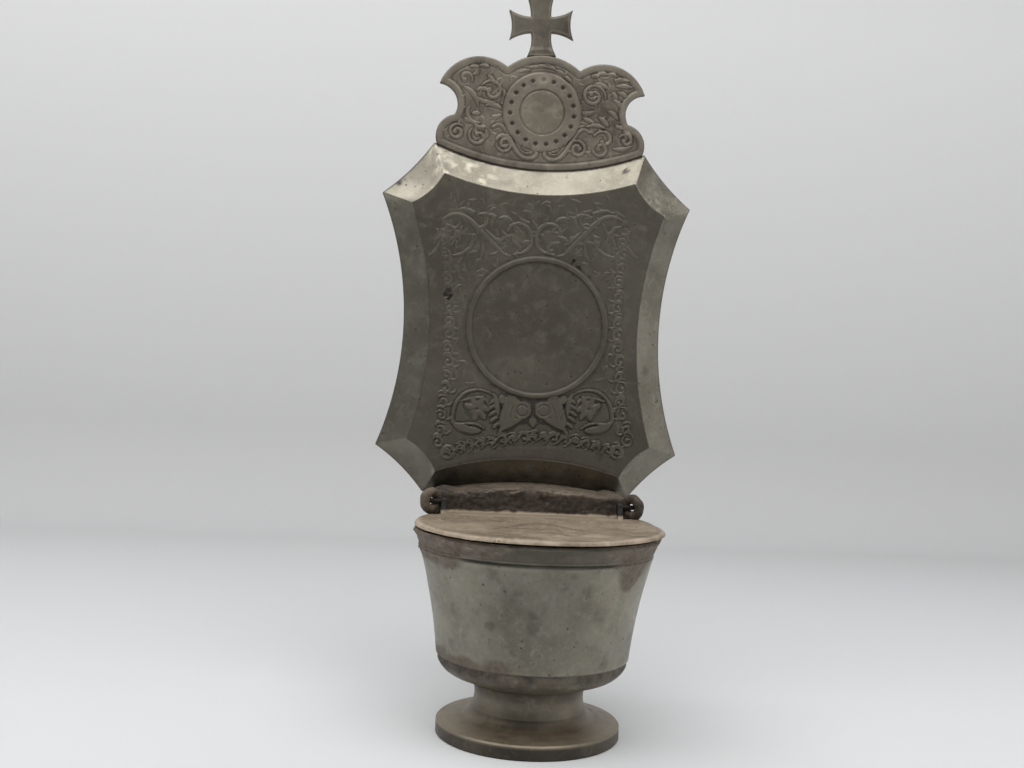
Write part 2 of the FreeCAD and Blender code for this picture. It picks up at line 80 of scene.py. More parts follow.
def arc(start, via, end, count):
    """Points after start on the circle arc through via to end."""
    (ax, ay), (bx, by), (cx, cy) = start, via, end
    d = 2 * (ax * (by - cy) + bx * (cy - ay) + cx * (ay - by))
    a2, b2, c2 = ax * ax + ay * ay, bx * bx + by * by, cx * cx + cy * cy
    ux = (a2 * (by - cy) + b2 * (cy - ay) + c2 * (ay - by)) / d
    uy = (a2 * (cx - bx) + b2 * (ax - cx) + c2 * (bx - ax)) / d
    r = math.hypot(ax - ux, ay - uy)
    t0, tv, t1 = (math.atan2(p[1] - uy, p[0] - ux) for p in (start, via, end))
    turn = (t1 - t0) % (2 * math.pi)
    if (tv - t0) % (2 * math.pi) > turn:
        turn -= 2 * math.pi
    return [(ux + r * math.cos(t0 + turn * k / count), uy + r * math.sin(t0 + turn * k / count))
            for k in range(1, count + 1)]


def trace(corners, step, closed=True):
    """Evenly stepped line through corners; a corner with four numbers ends an arc."""
    points = [] if closed else [tuple(corners[0][:2])]
    for k in range(0 if closed else 1, len(corners)):
        start, corner = tuple(corners[k - 1][:2]), corners[k]
        end = tuple(corner[:2])
        count = max(1, round(math.dist(start, end) / step))
        if len(corner) == 4:
            points += arc(start, tuple(corner[2:]), end, max(2, count))
        else:
            points += [(start[0] + (end[0] - start[0]) * i / count,
                        start[1] + (end[1] - start[1]) * i / count)
                       for i in range(1, count + 1)]
    return np.array(points)


def mirrored(right, crossing):
    """Outline that is the same on both sides of x = 0, from its right-hand side upwards."""
    last = right[-1]
    corners = list(right) + [(-last[0], last[1], *crossing)]
    for i in range(len(right) - 1, 0, -1):
        way = right[i][2:]
        corners.append((-right[i - 1][0], right[i - 1][1],
                        *((-way[0], way[1]) if way else ())))
    return corners


def inside(outline, x, y):
    """True for the points that lie within a closed outline."""
    hit = np.zeros(x.shape, bool)
    for (ax, ay), (bx, by) in zip(outline, np.roll(outline, -1, 0)):
        if ay != by:
            cut = (ay > y) != (by > y)
            hit ^= cut & (x < (bx - ax) * (y - ay) / (by - ay) + ax)
    return hit


def nearest(outline, x, y, reach):
    """Distance to a closed outline, capped at reach, and the nearest point on it."""
    best = np.full(x.shape, reach)
    px, py = x.copy(), y.copy()
    for (ax, ay), (bx, by) in zip(outline, np.roll(outline, -1, 0)):
        near = np.nonzero((x > min(ax, bx) - reach) & (x < max(ax, bx) + reach)
                          & (y > min(ay, by) - reach) & (y < max(ay, by) + reach))
        u, v = x[near], y[near]
        dx, dy = bx - ax, by - ay
        t = np.clip(((u - ax) * dx + (v - ay) * dy) / max(dx * dx + dy * dy, 1e-12), 0, 1)
        qx, qy = ax + t * dx, ay + t * dy
        d = np.hypot(u - qx, v - qy)
        closer = d < best[near]
        spots = tuple(k[closer] for k in near)
        best[spots], px[spots], py[spots] = d[closer], qx[closer], qy[closer]
    return best, px, py


def smooth(t):
    """Soft step from 0 at t = 0 to 1 at t = 1."""
    t = np.clip(t, 0, 1)
    return t * t * (3 - 2 * t)


def above(value, start, span):
    """0 up to start, 1 from a span above it, and soft between."""
    return smooth((value - start) / span)


def below(value, end, span):
    """0 from end upwards, 1 from a span below it, and soft between."""
    return smooth((end - value) / span)


def around(value, middle, reach, crest=1):
    """1 near the middle, falling softly to 0; a crest above 1 makes the top wider."""
    return smooth(crest - abs(value - middle) / reach)


def lattice(p, seed):
    """Steady pseudo-random numbers from 0 to 1 at whole-numbered points."""
    i = p.astype(np.int64)
    h = (i[..., 0] * 374761393 + i[..., 1] * 668265263 + i[..., 2] * 2147483647
         + seed * 144665) & 0xFFFFFFFF
    h = ((h ^ (h >> 13)) * 1274126177) & 0xFFFFFFFF
    h = ((h ^ (h >> 16)) * 2246822519) & 0xFFFFFFFF
    return ((h ^ (h >> 15)) & 0xFFFFFF) / 0xFFFFFF


def noise(points, size, seed, octaves=3):
    """Soft noise from -1 to 1 whose largest lumps are about size across."""
    total, weight, norm = 0.0, 1.0, 0.0
    for k in range(octaves):
        p = points / size * 2 ** k + 19.7 * k
        base = np.floor(p)
        f = smooth(p - base)
        value = 0.0
        for corner in np.ndindex(2, 2, 2):
            share = np.prod(np.where(corner, f, 1 - f), -1)
            value = value + share * lattice(base + corner, seed + k)
        total = total + weight * (value * 2 - 1)
        norm += weight
        weight *= 0.5
    return total / norm


def mottled(points, size, seed, gain, offset):
    """Soft-edged patches: noise times gain plus offset, kept from 0 to 1."""
    return smooth(noise(points, size, seed) * gain + offset)


# Meshes.

def setting(name):
    """A size from the panel, in millimetres."""
    return getattr(bpy.context.scene.stoup_sizes, name) / MM


def add_piece(name, vertices, faces, slot, replaces=None, body="stoup", sharp=35, finish=None,
              **marks):
    """Piece from millimetre vertices that rides on a body, with a slot's finish and marks."""
    mesh = bpy.data.meshes.new(name)
    mesh.from_pydata((np.asarray(vertices, float) * MM).tolist(), [], faces)
    mesh.validate()
    for key, values in marks.items():
        values = np.clip(values, -1 if key == "relief" else 0, 1) * np.ones(len(vertices))
        layer = mesh.attributes.new(key, "FLOAT", "POINT")
        layer.data.foreach_set("value", values.astype(np.float32))
    mesh.shade_smooth()
    if sharp:
        mesh.set_sharp_from_angle(angle=math.radians(sharp))
    piece = bpy.data.objects.new(name, mesh)
    bpy.context.scene.collection.objects.link(piece)
    piece.data.materials.append((finish or FINISHES[slot])())
    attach(piece, body)
    if replaces:
        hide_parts(replaces)
    return piece


def lathe(profile, count=224):
    """Closed turned skin about the bowl's axis from a closed (radius, height) profile."""
    turn = np.arange(count) * 2 * math.pi / count
    rings, faces, vertices = [], [], []
    for r, z in profile:
        start = len(vertices)
        if r < 1e-6:
            vertices.append((0.0, AXIS_Y, z))
            rings.append([start] * count)
        else:
            vertices += [(r * math.sin(t), AXIS_Y - r * math.cos(t), z) for t in turn]
            rings.append(list(range(start, start + count)))
    closed = profile[0][0] > 1e-6 or profile[-1][0] > 1e-6
    for k in range(len(rings) if closed else len(rings) - 1):
        low, high = rings[k], rings[(k + 1) % len(rings)]
        for i in range(count):
            j = (i + 1) % count
            face = list(dict.fromkeys((low[i], low[j], high[j], high[i])))
            if len(face) > 2:
                faces.append(face)
    return np.array(vertices), faces


def skin(outline, spacing, top, foot):
    """Closed sheet over an outline in a plane: a fine height grid above a flat foot.

    top(u, v, d) gives the height at a point that is d inside the outline. The grid's edge is
    drawn onto the outline. Returns (u, v, w) points, faces and the distance d of each point.
    """
    lo, hi = outline.min(0) - spacing, outline.max(0) + 2 * spacing
    us, vs = np.arange(lo[0], hi[0], spacing), np.arange(lo[1], hi[1], spacing)
    u, v = np.meshgrid(us, vs, indexing="ij")
    d, nu, nv = nearest(outline, u, v, 4.0)
    within = inside(outline, u, v) & (d > spacing * 0.35)
    cells = within[:-1, :-1] | within[1:, :-1] | within[:-1, 1:] | within[1:, 1:]
    used = np.zeros(u.shape, bool)
    for a, b in np.ndindex(2, 2):
        used[a:a + cells.shape[0], b:b + cells.shape[1]] |= cells
    edge = used & ~within
    u, v, d = (np.where(edge, on_edge, off_edge)[used]
               for on_edge, off_edge in ((nu, u), (nv, v), (0, d)))
    index = np.full(used.shape, -1)
    index[used] = np.arange(used.sum())
    points = np.stack([u, v, top(u, v, d)], 1)
    i, j = np.nonzero(cells)
    quads = np.stack([index[i, j], index[i + 1, j], index[i + 1, j + 1], index[i, j + 1]], 1)
    sides = np.concatenate([quads[:, [k, (k + 1) % 4]] for k in range(4)])
    have = set(map(tuple, sides.tolist()))
    follow = {}
    for a, b in have:
        if (b, a) not in have:
            follow.setdefault(a, []).append(b)
    low = {a: len(points) + k for k, a in enumerate(follow)}
    lowered = np.array([(*points[a, :2], foot) for a in follow])
    faces, floors = quads.tolist(), []
    while follow:
        a = next(iter(follow))
        floor = []
        while a in follow:
            b = follow[a].pop()
            if not follow[a]:
                del follow[a]
            floor.append(low[a])
            faces.append([b, a, low[a], low[b]])
            a = b
        floors.append(floor[::-1])
    return (np.concatenate([points, lowered]), faces + floors,
            np.concatenate([d, np.zeros(len(lowered))]))


def rounding(d, reach, drop):
    """How far a rounded edge has fallen at a distance d from the outline."""
    return drop * (1 - np.sqrt(1 - np.clip(1 - d / reach, 0, 1) ** 2))


def upright(points, front):
    """(x, z, rise) points of a wall-side sheet as x, y, z, with the rise towards the user."""
    return np.stack([points[:, 0], front - points[:, 2], points[:, 1]], 1)


# Finishes.

class Nodes:
    """Short hand for wiring one material."""

    def __init__(self, name):
        found = bpy.data.materials.get(name)
        self.made = found is None
        self.material = found or bpy.data.materials.new(name)
        self.material.use_nodes = True
        self.tree = self.material.node_tree
        if self.made:
            self.tree.nodes.clear()

    def add(self, kind, inputs=None, **settings):
        """New node whose inputs are set to values or linked to sockets."""
        node = self.tree.nodes.new("ShaderNode" + kind)
        for key, value in settings.items():
            setattr(node, key, value)
        for key, value in (inputs or {}).items():
            if isinstance(value, bpy.types.NodeSocket):
                self.tree.links.new(value, node.inputs[key])
            else:
                node.inputs[key].default_value = value
        return node

    def noise(self, place, scale, detail=4.0, rough=0.55, lean=0.0):
        return self.add("TexNoise", {"Vector": place, "Scale": scale, "Detail": detail,
                                     "Roughness": rough, "Distortion": lean}).outputs[0]

    def span(self, value, low, high, out_low=0.0, out_high=1.0):
        """The value, stretched from low..high to out_low..out_high."""
        return self.add("MapRange", {"Value": value, "From Min": low, "From Max": high,
                                     "To Min": out_low, "To Max": out_high}).outputs[0]

    def sums(self, kind, a, b):
        return self.add("Math", {0: a, 1: b}, operation=kind).outputs[0]

    def mix(self, share, a, b):
        """Colour a, passing into colour b as the share goes from 0 to 1."""
        return self.add("Mix", {0: share, 6: a, 7: b}, data_type="RGBA").outputs[2]


def linear(rgb):
    """A colour as it is seen, turned into the values that a material takes."""
    return tuple((c / 12.92 if c <= 0.04045 else ((c + 0.055) / 1.055) ** 2.4)
                 for c in rgb) + (1.0,)


def pewter(name, tone, pale, dark, metal, rough, blotch, grain=0.1, dust=None, pits=0.4,
           streaks=0.0, crust_low=(0.13, 0.11, 0.09), crust_high=(0.33, 0.29, 0.25),
           rubbed=None):
    """Aged pewter: blotches, pits and scratches, steered by the marks on a mesh.

    tone names the main colour in the panel, and grain is the height of the roughness in
    millimetres. The mark relief is above 0 on the heights of the ornament and below 0 in its
    hollows, grime is crust and dirt, tarnish is darker metal and also painted shade, and wear
    is metal rubbed pale and also painted highlight.
    """
    n = Nodes(name)
    if not n.made:
        return n.material
    coord = n.add("TexCoord")
    place = coord.outputs["Object"]
    wide = n.noise(place, blotch, 4.0, 0.6)
    middle = n.noise(place, blotch * 5, 5.0, 0.65, 0.6)
    fine = n.noise(place, 520.0, 6.0, 0.7)
    specks = n.noise(place, 1700.0, 3.0, 0.6)
    relief, grime, tarnish, wear = (n.add("Attribute", attribute_name=key).outputs["Fac"]
                                    for key in ("relief", "grime", "tarnish", "wear"))
    # Blotches, large to small.
    tone = linear(getattr(bpy.context.scene.stoup_finish, tone))
    colour = n.mix(n.span(wide, 0.36, 0.62), linear(dark), tone)
    colour = n.mix(n.span(middle, 0.50, 0.72, 0.0, 0.85), colour, linear(pale))
    colour = n.mix(n.span(fine, 0.52, 0.72, 0.0, 0.45), colour, linear(dark))
    colour = n.mix(n.span(specks, 0.58, 0.72, 0.0, 0.4), colour, linear(pale))
    height = n.sums("ADD", n.sums("MULTIPLY", fine, 0.75), n.sums("MULTIPLY", specks, 0.25))
    if pits:
        spots = n.add("TexVoronoi", {"Vector": place, "Scale": 330.0}).outputs["Distance"]
        spots = n.sums("MULTIPLY", n.span(spots, 0.10, 0.22, 1.0, 0.0),
                       n.span(middle, 0.50, 0.56))
        colour = n.mix(n.sums("MULTIPLY", spots, pits), colour,
                       linear([c * 0.4 for c in dark]))
        height = n.sums("SUBTRACT", height, n.sums("MULTIPLY", spots, pits))
    if streaks:
        drawn = n.add("Mapping", {"Vector": place, "Rotation": (0.3, 0.5, 0.7),
                                  "Scale": (1.0, 0.05, 1.0)}).outputs[0]
        lines = n.span(n.noise(drawn, 1400.0, 2.0, 0.5), 0.62, 0.70)
        colour = n.mix(n.sums("MULTIPLY", lines, streaks), colour, linear(pale))
    if dust:
        up = n.add("SeparateXYZ", {0: coord.outputs["Normal"]}).outputs[2]
        settled = n.sums("MULTIPLY", n.span(up, 0.3, 0.9), n.span(middle, 0.3, 0.6, 0.5, 1.0))
        colour = n.mix(settled, colour, linear(dust))
    # The marks: relief, darker metal and painted shade, rubbed metal and painted highlight, and
    # crust.
    colour = n.mix(n.span(relief, -0.1, -0.8, 0.0, 0.75), colour,
                   linear([c * 0.45 for c in dark]))
    colour = n.mix(n.span(relief, 0.15, 0.9, 0.0, 0.45), colour, linear(pale))
    colour = n.mix(tarnish, colour, linear([c * 0.5 for c in dark]))
    colour = n.mix(wear, colour, linear(rubbed or [min(1, c * 1.2) for c in pale]))
    crumbs = n.span(n.noise(place, 560.0, 6.0, 0.7), 0.34, 0.68)
    crust = n.mix(crumbs, linear(crust_low), linear(crust_high))
    colour = n.mix(grime, colour, crust)
    roughness = n.span(middle, 0.3, 0.7, rough - 0.07, rough + 0.13)
    roughness = n.sums("ADD", roughness, n.sums("MULTIPLY", grime, 0.3))
    metallic = n.span(grime, 0.0, 0.8, metal, 0.0)
    bump = n.add("Bump", {"Height": height, "Strength": 0.8, "Distance": grain * MM})
    shader = n.add("BsdfPrincipled", {"Base Color": colour, "Roughness": roughness,
                                      "Metallic": metallic, "Normal": bump.outputs[0]})
    n.add("OutputMaterial", {"Surface": shader.outputs[0]})
    return n.material


def foot_pewter():
    """Dull brown-grey of the foot and the stem."""
    return pewter("foot_metal", "foot", (0.50, 0.47, 0.41), (0.29, 0.26, 0.22), rough=0.40,
                  dust=(0.56, 0.505, 0.425), metal=0.5, blotch=55.0)


def dish_pewter():
    """Grey-brown of the bowl's base, with pale patches."""
    return pewter("dish_metal", "foot", (0.55, 0.54, 0.48), (0.32, 0.28, 0.23), rough=0.40,
                  metal=0.5, blotch=40.0, pits=0.6)


def bowl_pewter():
    """Worn grey of the bowl's wall, with tan crust."""
    return pewter("bowl_metal", "bowl", (0.59, 0.585, 0.54), (0.445, 0.425, 0.375), rough=0.36,
                  metal=0.6, blotch=62.0, pits=0.7, streaks=0.15,
                  crust_low=(0.31, 0.27, 0.225), crust_high=(0.45, 0.40, 0.345),
                  rubbed=(0.66, 0.62, 0.55))


def hood_pewter():
    """Dark crackled patina behind the lid."""
    return pewter("hood_metal", "hood", (0.42, 0.37, 0.32), (0.17, 0.14, 0.12), rough=0.55,
                  dust=(0.47, 0.42, 0.36), metal=0.25, blotch=70.0, grain=0.3,
                  crust_low=(0.12, 0.10, 0.08), crust_high=(0.34, 0.30, 0.26),
                  rubbed=(0.62, 0.56, 0.48))


def lid_pewter():
    """Dusty tan of the lid."""
    return pewter("lid_metal", "lid", (0.73, 0.67, 0.59), (0.50, 0.44, 0.37), rough=0.52,
                  metal=0.15, blotch=38.0, grain=0.35, pits=0.8, streaks=0.3,
                  crust_low=(0.26, 0.22, 0.18), crust_high=(0.50, 0.44, 0.38))


def plate_pewter():
    """Rubbed metal of the plate's bevels."""
    return pewter("plate_metal", "plate", (0.68, 0.66, 0.60), (0.50, 0.48, 0.43), rough=0.32,
                  metal=0.9, blotch=45.0, pits=0.6, streaks=0.3)


def field_patina():
    """Dark patina in the plate's sunk field."""
    return pewter("field_patina", "field", (0.42, 0.40, 0.355), (0.32, 0.30, 0.26), rough=0.42,
                  metal=0.45, blotch=40.0, pits=0.6)


def crest_pewter():
    """Patina of the crest and the cross."""
    return pewter("crest_metal", "crest", (0.56, 0.53, 0.47), (0.36, 0.33, 0.29), rough=0.42,
                  metal=0.5, blotch=45.0, pits=0.5)


FINISHES = {make.__name__: make for make in (foot_pewter, bowl_pewter, hood_pewter, lid_pewter,
                                             plate_pewter, crest_pewter)}


# Turned pieces.

def from_axis(points):
    """Distance of each point from the bowl's axis."""
    return np.hypot(points[:, 0], points[:, 1] - AXIS_Y)


def outwards(points):
    """Unit vectors that point away from the bowl's axis."""
    away = (points - (0, AXIS_Y, 0)) * (1, 1, 0)
    return away / np.maximum(np.linalg.norm(away, axis=1, keepdims=True), 1e-6)


def worn(points, amount, size, seed):
    """Turned points pushed in and out a little, as old castings are."""
    push = noise(points, size, seed) * amount * np.clip(from_axis(points) / 5, 0, 1)
    return points + outwards(points) * push[:, None]


def build_foot():
    """Turned foot, hollow underneath, and the waisted stem on it."""
    profile = trace([(30.8, 0), (32.5, 0), (33.0, 0.5), (33.0, 4.6), (32.5, 5.15),
                     (25.4, 6.6, 28.9, 5.8), (20.6, FOOT_TOP, 22.2, 7.7), (0.0, FOOT_TOP)],
                    0.8, closed=False)
    under = trace([(0.0, 7.8), (18.4, 7.8), (30.8, 2.9, 23.9, 4.7), (30.8, 0.6)], 2.0,
                  closed=False)
    vertices, faces = lathe(np.concatenate([profile, under]))
    x, y, z = vertices.T
    r = from_axis(vertices)
    # Pale line round the rim's rounded edge: painted highlight.
    edge = smooth(1 - np.hypot(r - 32.8, z - 4.8) / 0.8)
    # Painted shadow on the foot's top in front of the neck.
    hollow = smooth(1.3 - np.hypot((x + 3) / 11, (r - 20.4) / 2.6)) * (y < 0)
    # The side is darker in the middle of the front than at the left and right.
    side = below(z, 4.6, 0.8) * (r > 30) * (0.4 + 0.35 * around(x, 0, 14, 1.4))
    shift = np.array([FOOT_SHIFT, 0, 0])
    # The top is paler towards the left and right and a little darker all over.
    add_piece("foot_casting", worn(vertices, 0.18, 14, 3) - shift, faces, "foot_pewter", "foot",
              wear=np.maximum(edge * 0.6, 0.3 * above(abs(x), 12, 10) * (z > 5)),
              grime=0.2 * mottled(vertices, 5, 71, 2, -0.2) * (1 - edge),
              tarnish=np.maximum(side, 0.15 * (z > 5.6) + 0.5 * hollow))
    vertices, faces = lathe(trace([(17.6, FOOT_TOP), (20.6, FOOT_TOP),
                                   (20.6, STEM_TOP, 19.6, 14.45), (17.6, STEM_TOP)], 0.9))
    x, y, z = vertices.T
    # Painted shadow low on the front of the stem.
    hollow = smooth(1.2 - np.hypot((x + 3) / 11, (z - 9.5) / 3.5)) * (y < 0)
    add_piece("stem_casting", worn(vertices, 0.18, 14, 3) - shift, faces, "foot_pewter", "stem",
              grime=(0.5 * above(z, STEM_TOP - 1.6, 1.6)
                     + 0.15 * below(z, FOOT_TOP + 1.6, 1.6)),
              tarnish=0.3 * hollow,
              # Paler below the dish, more so towards the left and right.
              wear=(0.25 + 0.2 * above(abs(x), 8, 8)) * below(z, 17, 3))


def build_dish():
    """Rounded base of the bowl."""
    outer = trace([(0.0, STEM_TOP), (20.6, STEM_TOP), (29.5, 22.2), (34.0, 26.8, 32.6, 24.5),
                   (34.0, STEP_Z), (32.0, STEP_Z), (32.0, 26.8), (28.5, 24.2, 31.2, 25.9),
                   (20.6, 21.1), (0.0, 21.1)], 0.8, closed=False)
    vertices, faces = lathe(outer)
    x, z = vertices[:, 0], vertices[:, 2]
    r = from_axis(vertices)
    seam = 0.75 * above(z, 24, 3) * mottled(vertices, 3.4, 70, 3, 0.5) * (r > 29)
    seam = seam + 0.6 * above(-x, 16, 6) * above(z, 25, 2) * (r > 30)
    left = above(-x, 8, 10) * mottled(vertices, 9, 72, 3, 0.6)
    add_piece("bowl_base_casting", worn(vertices, 0.14, 9, 5), faces, "foot_pewter",
              "bowl_base", finish=dish_pewter,
              grime=seam + 0.2 * mottled(vertices, 4, 73, 3, 0),
              wear=0.3 * left * below(z, 25, 2))


def build_wall():
    """Flaring wall of the bowl with its turned lines, its stains and the crust on its rim."""
    wall = trace([(32.7, STEP_Z), (34.3, STEP_Z), (34.7, 29.2), (42.0, 66.2, 37.35, 47.6),
                  (41.45, LINE_Z), (42.0, 67.4), (44.3, 72.2, 42.95, 70.0), (43.7, 73.3),
                  (42.6, RIM_Z), (32.0, STEP_Z, 35.35, 47.6)], 0.5)
    vertices, faces = lathe(wall, 288)
    x, y, z = vertices.T
    core = np.interp(z, [STEP_Z, 47.6, 66.4, RIM_Z], [33.2, 36.2, 40.8, 43.0])
    outside = above(from_axis(vertices), core, 0.5)
    front, left = y < 8, above(-x, 11, 3)
    crumbs, edge = noise(vertices, 3.0, 74, 4), 3 * noise(vertices, 5, 75)
    wave = 1.3 * noise(vertices * (1, 0, 0), 4, 79)
    # Tan crust: the rim's sides, a patch at the left end and a tongue down the right.
    rim = above(z, 67.6, 0.9)
    sides = 0.2 + 0.3 * smooth(edge)
    sides = sides + 0.6 * above(edge - x, 10, 7) + 0.65 * above(x + edge, 22, 6)
    ends = above(-x, 26.5, 4) * above(z - 1.2 * edge, 62, 2.5) * front
    smear = around(x + 0.3 * edge, 28 + 0.28 * (z - 57), np.maximum(0.5 * (z - 55), 0.1), 1.7)
    smear = smear * above(z, 56, 2) * front
    cover = np.clip(rim * sides * (0.85 + 0.4 * crumbs) + 0.8 * ends + 0.85 * smear, 0, 0.95)
    bumps = around(z - 0.6 * wave, 71, 1.4, 1.2) * left * above(x, -37, 3)
    lumps = bumps * (0.25 + 0.75 * mottled(vertices * (1, 1, 0.6), 3.2, 77, 3, 0.3))
    low_left = above(-x, 9, 5) * below(z, 33 + edge, 2.5) * (z < 40)
    warm = 0.22 * below(z, 44, 14) * smooth(0.6 + crumbs)
    grime = cover * (1 - 0.3 * lumps) + 0.1 * lumps + 0.7 * low_left + warm
    filled = 1.3 * around(z, LINE_Z, 0.9, 1.3) * np.maximum(ends, smear)
    crust = cover * (0.25 + 1.6 * crumbs) + filled + 3.6 * lumps * front
    # Dark metal: turned lines and spots, a cloud in front that is tarnished metal and painted
    # dark reflection, and painted shadow under the lid, on the rim and under the lumps.
    lines = 0.75 * around(z, 67.8, 0.6) + around(z, 66.4, 0.8)
    lines = lines * (1 - 0.85 * ends) * (1 - 0.85 * smear) * (1 - cover)
    cloud = 0.33 * around(x, -2, 25, 1.3) * (y < 0) * (1 - 0.5 * below(z, 46, 12))
    spots = 0.3 * mottled(vertices, 4.5, 78, 2.6, -0.5) * (1 - rim)
    # Painted shadow under the lid, over the middle and right of the rim, and under the lumps.
    shade = above(z, 71.9, 0.7) * (0.6 + 0.3 * below(abs(x + 8), 14, 6))
    shade = shade + rim * (below(abs(x), 26, 8) * (0.5 + 0.4 * crumbs) + 0.2 * above(x, 22, 5))
    shade = shade + 0.85 * around(z - wave, 69.1, 0.8, 1.1) * left * (x > -37)
    tarnish = (cloud + spots + shade + 0.8 * lines + 0.5 * low_left + 0.2 * smear * (1 - rim)
               + 0.3 * cover * smooth(-2 * crumbs))
    # Rubbed metal below the lines and above the step; the paler right side is painted
    # reflection.
    pale = 0.22 * around(z, 65.2, 0.8) + 0.35 * around(z, 29.6, 0.6)
    pale = pale + 0.3 * above(x, 10, 12) * above(z, 38, 8) * below(z, 66, 3)
    pale = pale * smooth(0.6 + 0.4 * edge) * (1 - cover) * (1 - low_left)
    vertices = worn(vertices, setting("dents"), 16, 6)
    vertices = vertices + outwards(vertices) * (setting("crust") * outside * crust)[:, None]
    add_piece("bowl_wall_casting", vertices, faces, "bowl_pewter", "bowl_body",
              grime=np.clip(grime, 0, 1) * outside,
              tarnish=np.clip(tarnish, 0, 0.85) * outside,
              # The lumps' pale tops are painted highlight.
              wear=np.maximum(0.6 * lumps, pale) * outside)


def build_lid():
    """D-shaped lid with a rounded edge, soft dents and a crease."""
    outline = trace([(41.33, 17.8), (-41.33, 17.8), (41.33, 17.8, 0, -48.5)], 0.6)
    outline[:, 0] += 1.8 * above(-outline[:, 0], 24, 20)
    marks = {}

    def top(x, y, d):
        p = np.stack([x, y, 0 * x], 1)
        crease = y - 2.5 + 1.22 * abs(x) + 2.2 * noise(p, 7, 15)
        line = around(crease, 0, 2.2, 1.25) * below(abs(x), 20.5, 6)
        line = line * (0.75 + 0.25 * noise(p, 3, 18))
        sunk = smooth(-crease / 3) * above(y, -40, 12) * below(abs(x), 26, 8)
        waves = 0.18 * noise(p, 17, 11) + 0.09 * noise(p, 4, 12) + 0.06 * noise(p, 1.6, 16)
        mound = smooth(1.25 - np.hypot(x + 31, (y - 13) * 1.3) / 5)
        raised = 0.6 * above(y, 4, 10) * above(x, 6, 22)
        lip = 0.25 * around(d, 2.2, 1.6) * (y < 10)
        marks["grime"] = (0.9 * line + 0.35 * mound + 0.3 * mottled(p, 7, 13, 3, -0.9)
                          + 0.5 * mottled(p, 2.4, 17, 4, -2.2) + 0.3 * above(y, 16.2, 1.5))
        marks["wear"] = (1 - line) * (0.4 * around(d, 0.9, 0.8)
                                      + 0.35 * mottled(p, 15, 14, 3, -0.6))
        level = LID_TOP - rounding(d, 1.5, 1.2) + waves + 1.1 * mound + raised + lip
        return level - setting("lid_crease") * (0.9 * sunk + 0.5 * line)

    points, faces, d = skin(outline, 0.6, top, LID_FOOT)
    lower = np.zeros(len(points) - len(marks["wear"]))
    marks = {key: np.concatenate([mark, lower]) for key, mark in marks.items()}
    add_piece("lid_casting", points, faces, "lid_pewter", "lid", "lid", **marks)


def recast(node, name, voxel, push, marks, body="stoup"):
    """Hood-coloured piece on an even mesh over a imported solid, with its points pushed out."""
    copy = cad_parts[node].copy()
    copy.data = copy.data.copy()
    bpy.context.scene.collection.objects.link(copy)
    copy.modifiers.new("even", "REMESH").voxel_size = voxel * MM
    evaluated = copy.evaluated_get(bpy.context.evaluated_depsgraph_get())
    mesh = evaluated.to_mesh()
    vertices = np.array([v.co[:] for v in mesh.vertices]) / MM
    normals = np.array([v.normal[:] for v in mesh.vertices])
    faces = [list(f.vertices) for f in mesh.polygons]
    evaluated.to_mesh_clear()
    bpy.data.objects.remove(copy)
    moved = vertices + normals * push(vertices)[:, None]
    add_piece(name, moved, faces, "hood_pewter", node, body, sharp=0,
              **marks(vertices, normals))


def cracks(p):
    """Crackle: near 1 along wandering lines, 0 between them."""
    wide = noise(p * (0.5, 1, 1), 3.6, 21, 4)
    return around(wide, 0, 0.16) * mottled(p * (0.6, 1, 1), 7, 27, 2, 0.7)


def build_hood():
    """Hood behind the lid, with a crackled face and a dusty ledge."""

    def push(p):
        x, y, z = p.T
        front = above(y, 22.5, 1.5) * above(z, 75.4, 0.6) * (y < 46)
        ends = 1.5 * above(abs(x), 27, 6) * above(z, 80, 2)
        swell = 1.2 * noise(p * (0.4, 1, 1), 5, 28) + 1.3 * noise(p, 2.2, 22)
        return front * (ends + setting("hood_crackle") * (swell - 1.1 * cracks(p)))

    def marks(p, normals):
        x, z = p[:, 0], p[:, 2]
        face = below(z, 83.4 + 1.5 * noise(p, 6, 20), 2.5)
        ledge = below(z, 76.6 + 0.8 * noise(p, 3, 19), 0.8)
        grime = face * (0.3 + 0.6 * cracks(p)) + 0.6 * above(-x, 24, 8)
        grime = grime + 0.6 * mottled(p, 4, 23, 3, -0.2)
        # Paler band across the upper hood: dust, and painted highlight where the hood turns up.
        band = around(z, 83.6, 1.8) * around(x, 4, 16, 1.3) * mottled(p, 3, 24, 2, 0.7)
        return {"grime": np.clip(grime, 0, 0.95) * (1 - ledge),
                "wear": np.maximum(ledge, 0.4 * band)}

    recast("rear_hood", "hood_casting", 0.45, push, marks)


# Plate.

PLATE_RIGHT = [(41.4, 80.4), (60.8, 98.6, 50.26, 90.34), (62.2, 198.7, 51.6, 148.65),
               (42.4, 219.8, 51.46, 208.41)]
PLATE_WAYS = ((0, 85.6), (0, 211.4))
FIELD_RIGHT = [(36.7, 89.6), (48.3, 101.7, 41.45, 96.7), (50.3, 194.3, 41.3, 148.0),
               (38.0, 206.5, 43.1, 199.35)]
FIELD_WAYS = ((0, 95.6), (0, 200.0))
BEVEL_PITS = [(-55.5, 203), (34.5, 212.2)]


def ring_of(right, ways, per_side):
    """One loop round an eight-sided outline, with the same count of points on like sides."""
    corners = mirrored([(*right[0], *ways[0])] + right[1:], ways[1])
    points = []
    for k, corner in enumerate(corners):
        points += arc(tuple(corners[k - 1][:2]), tuple(corner[2:]), tuple(corner[:2]),
                      per_side[k])
    return np.array(points)


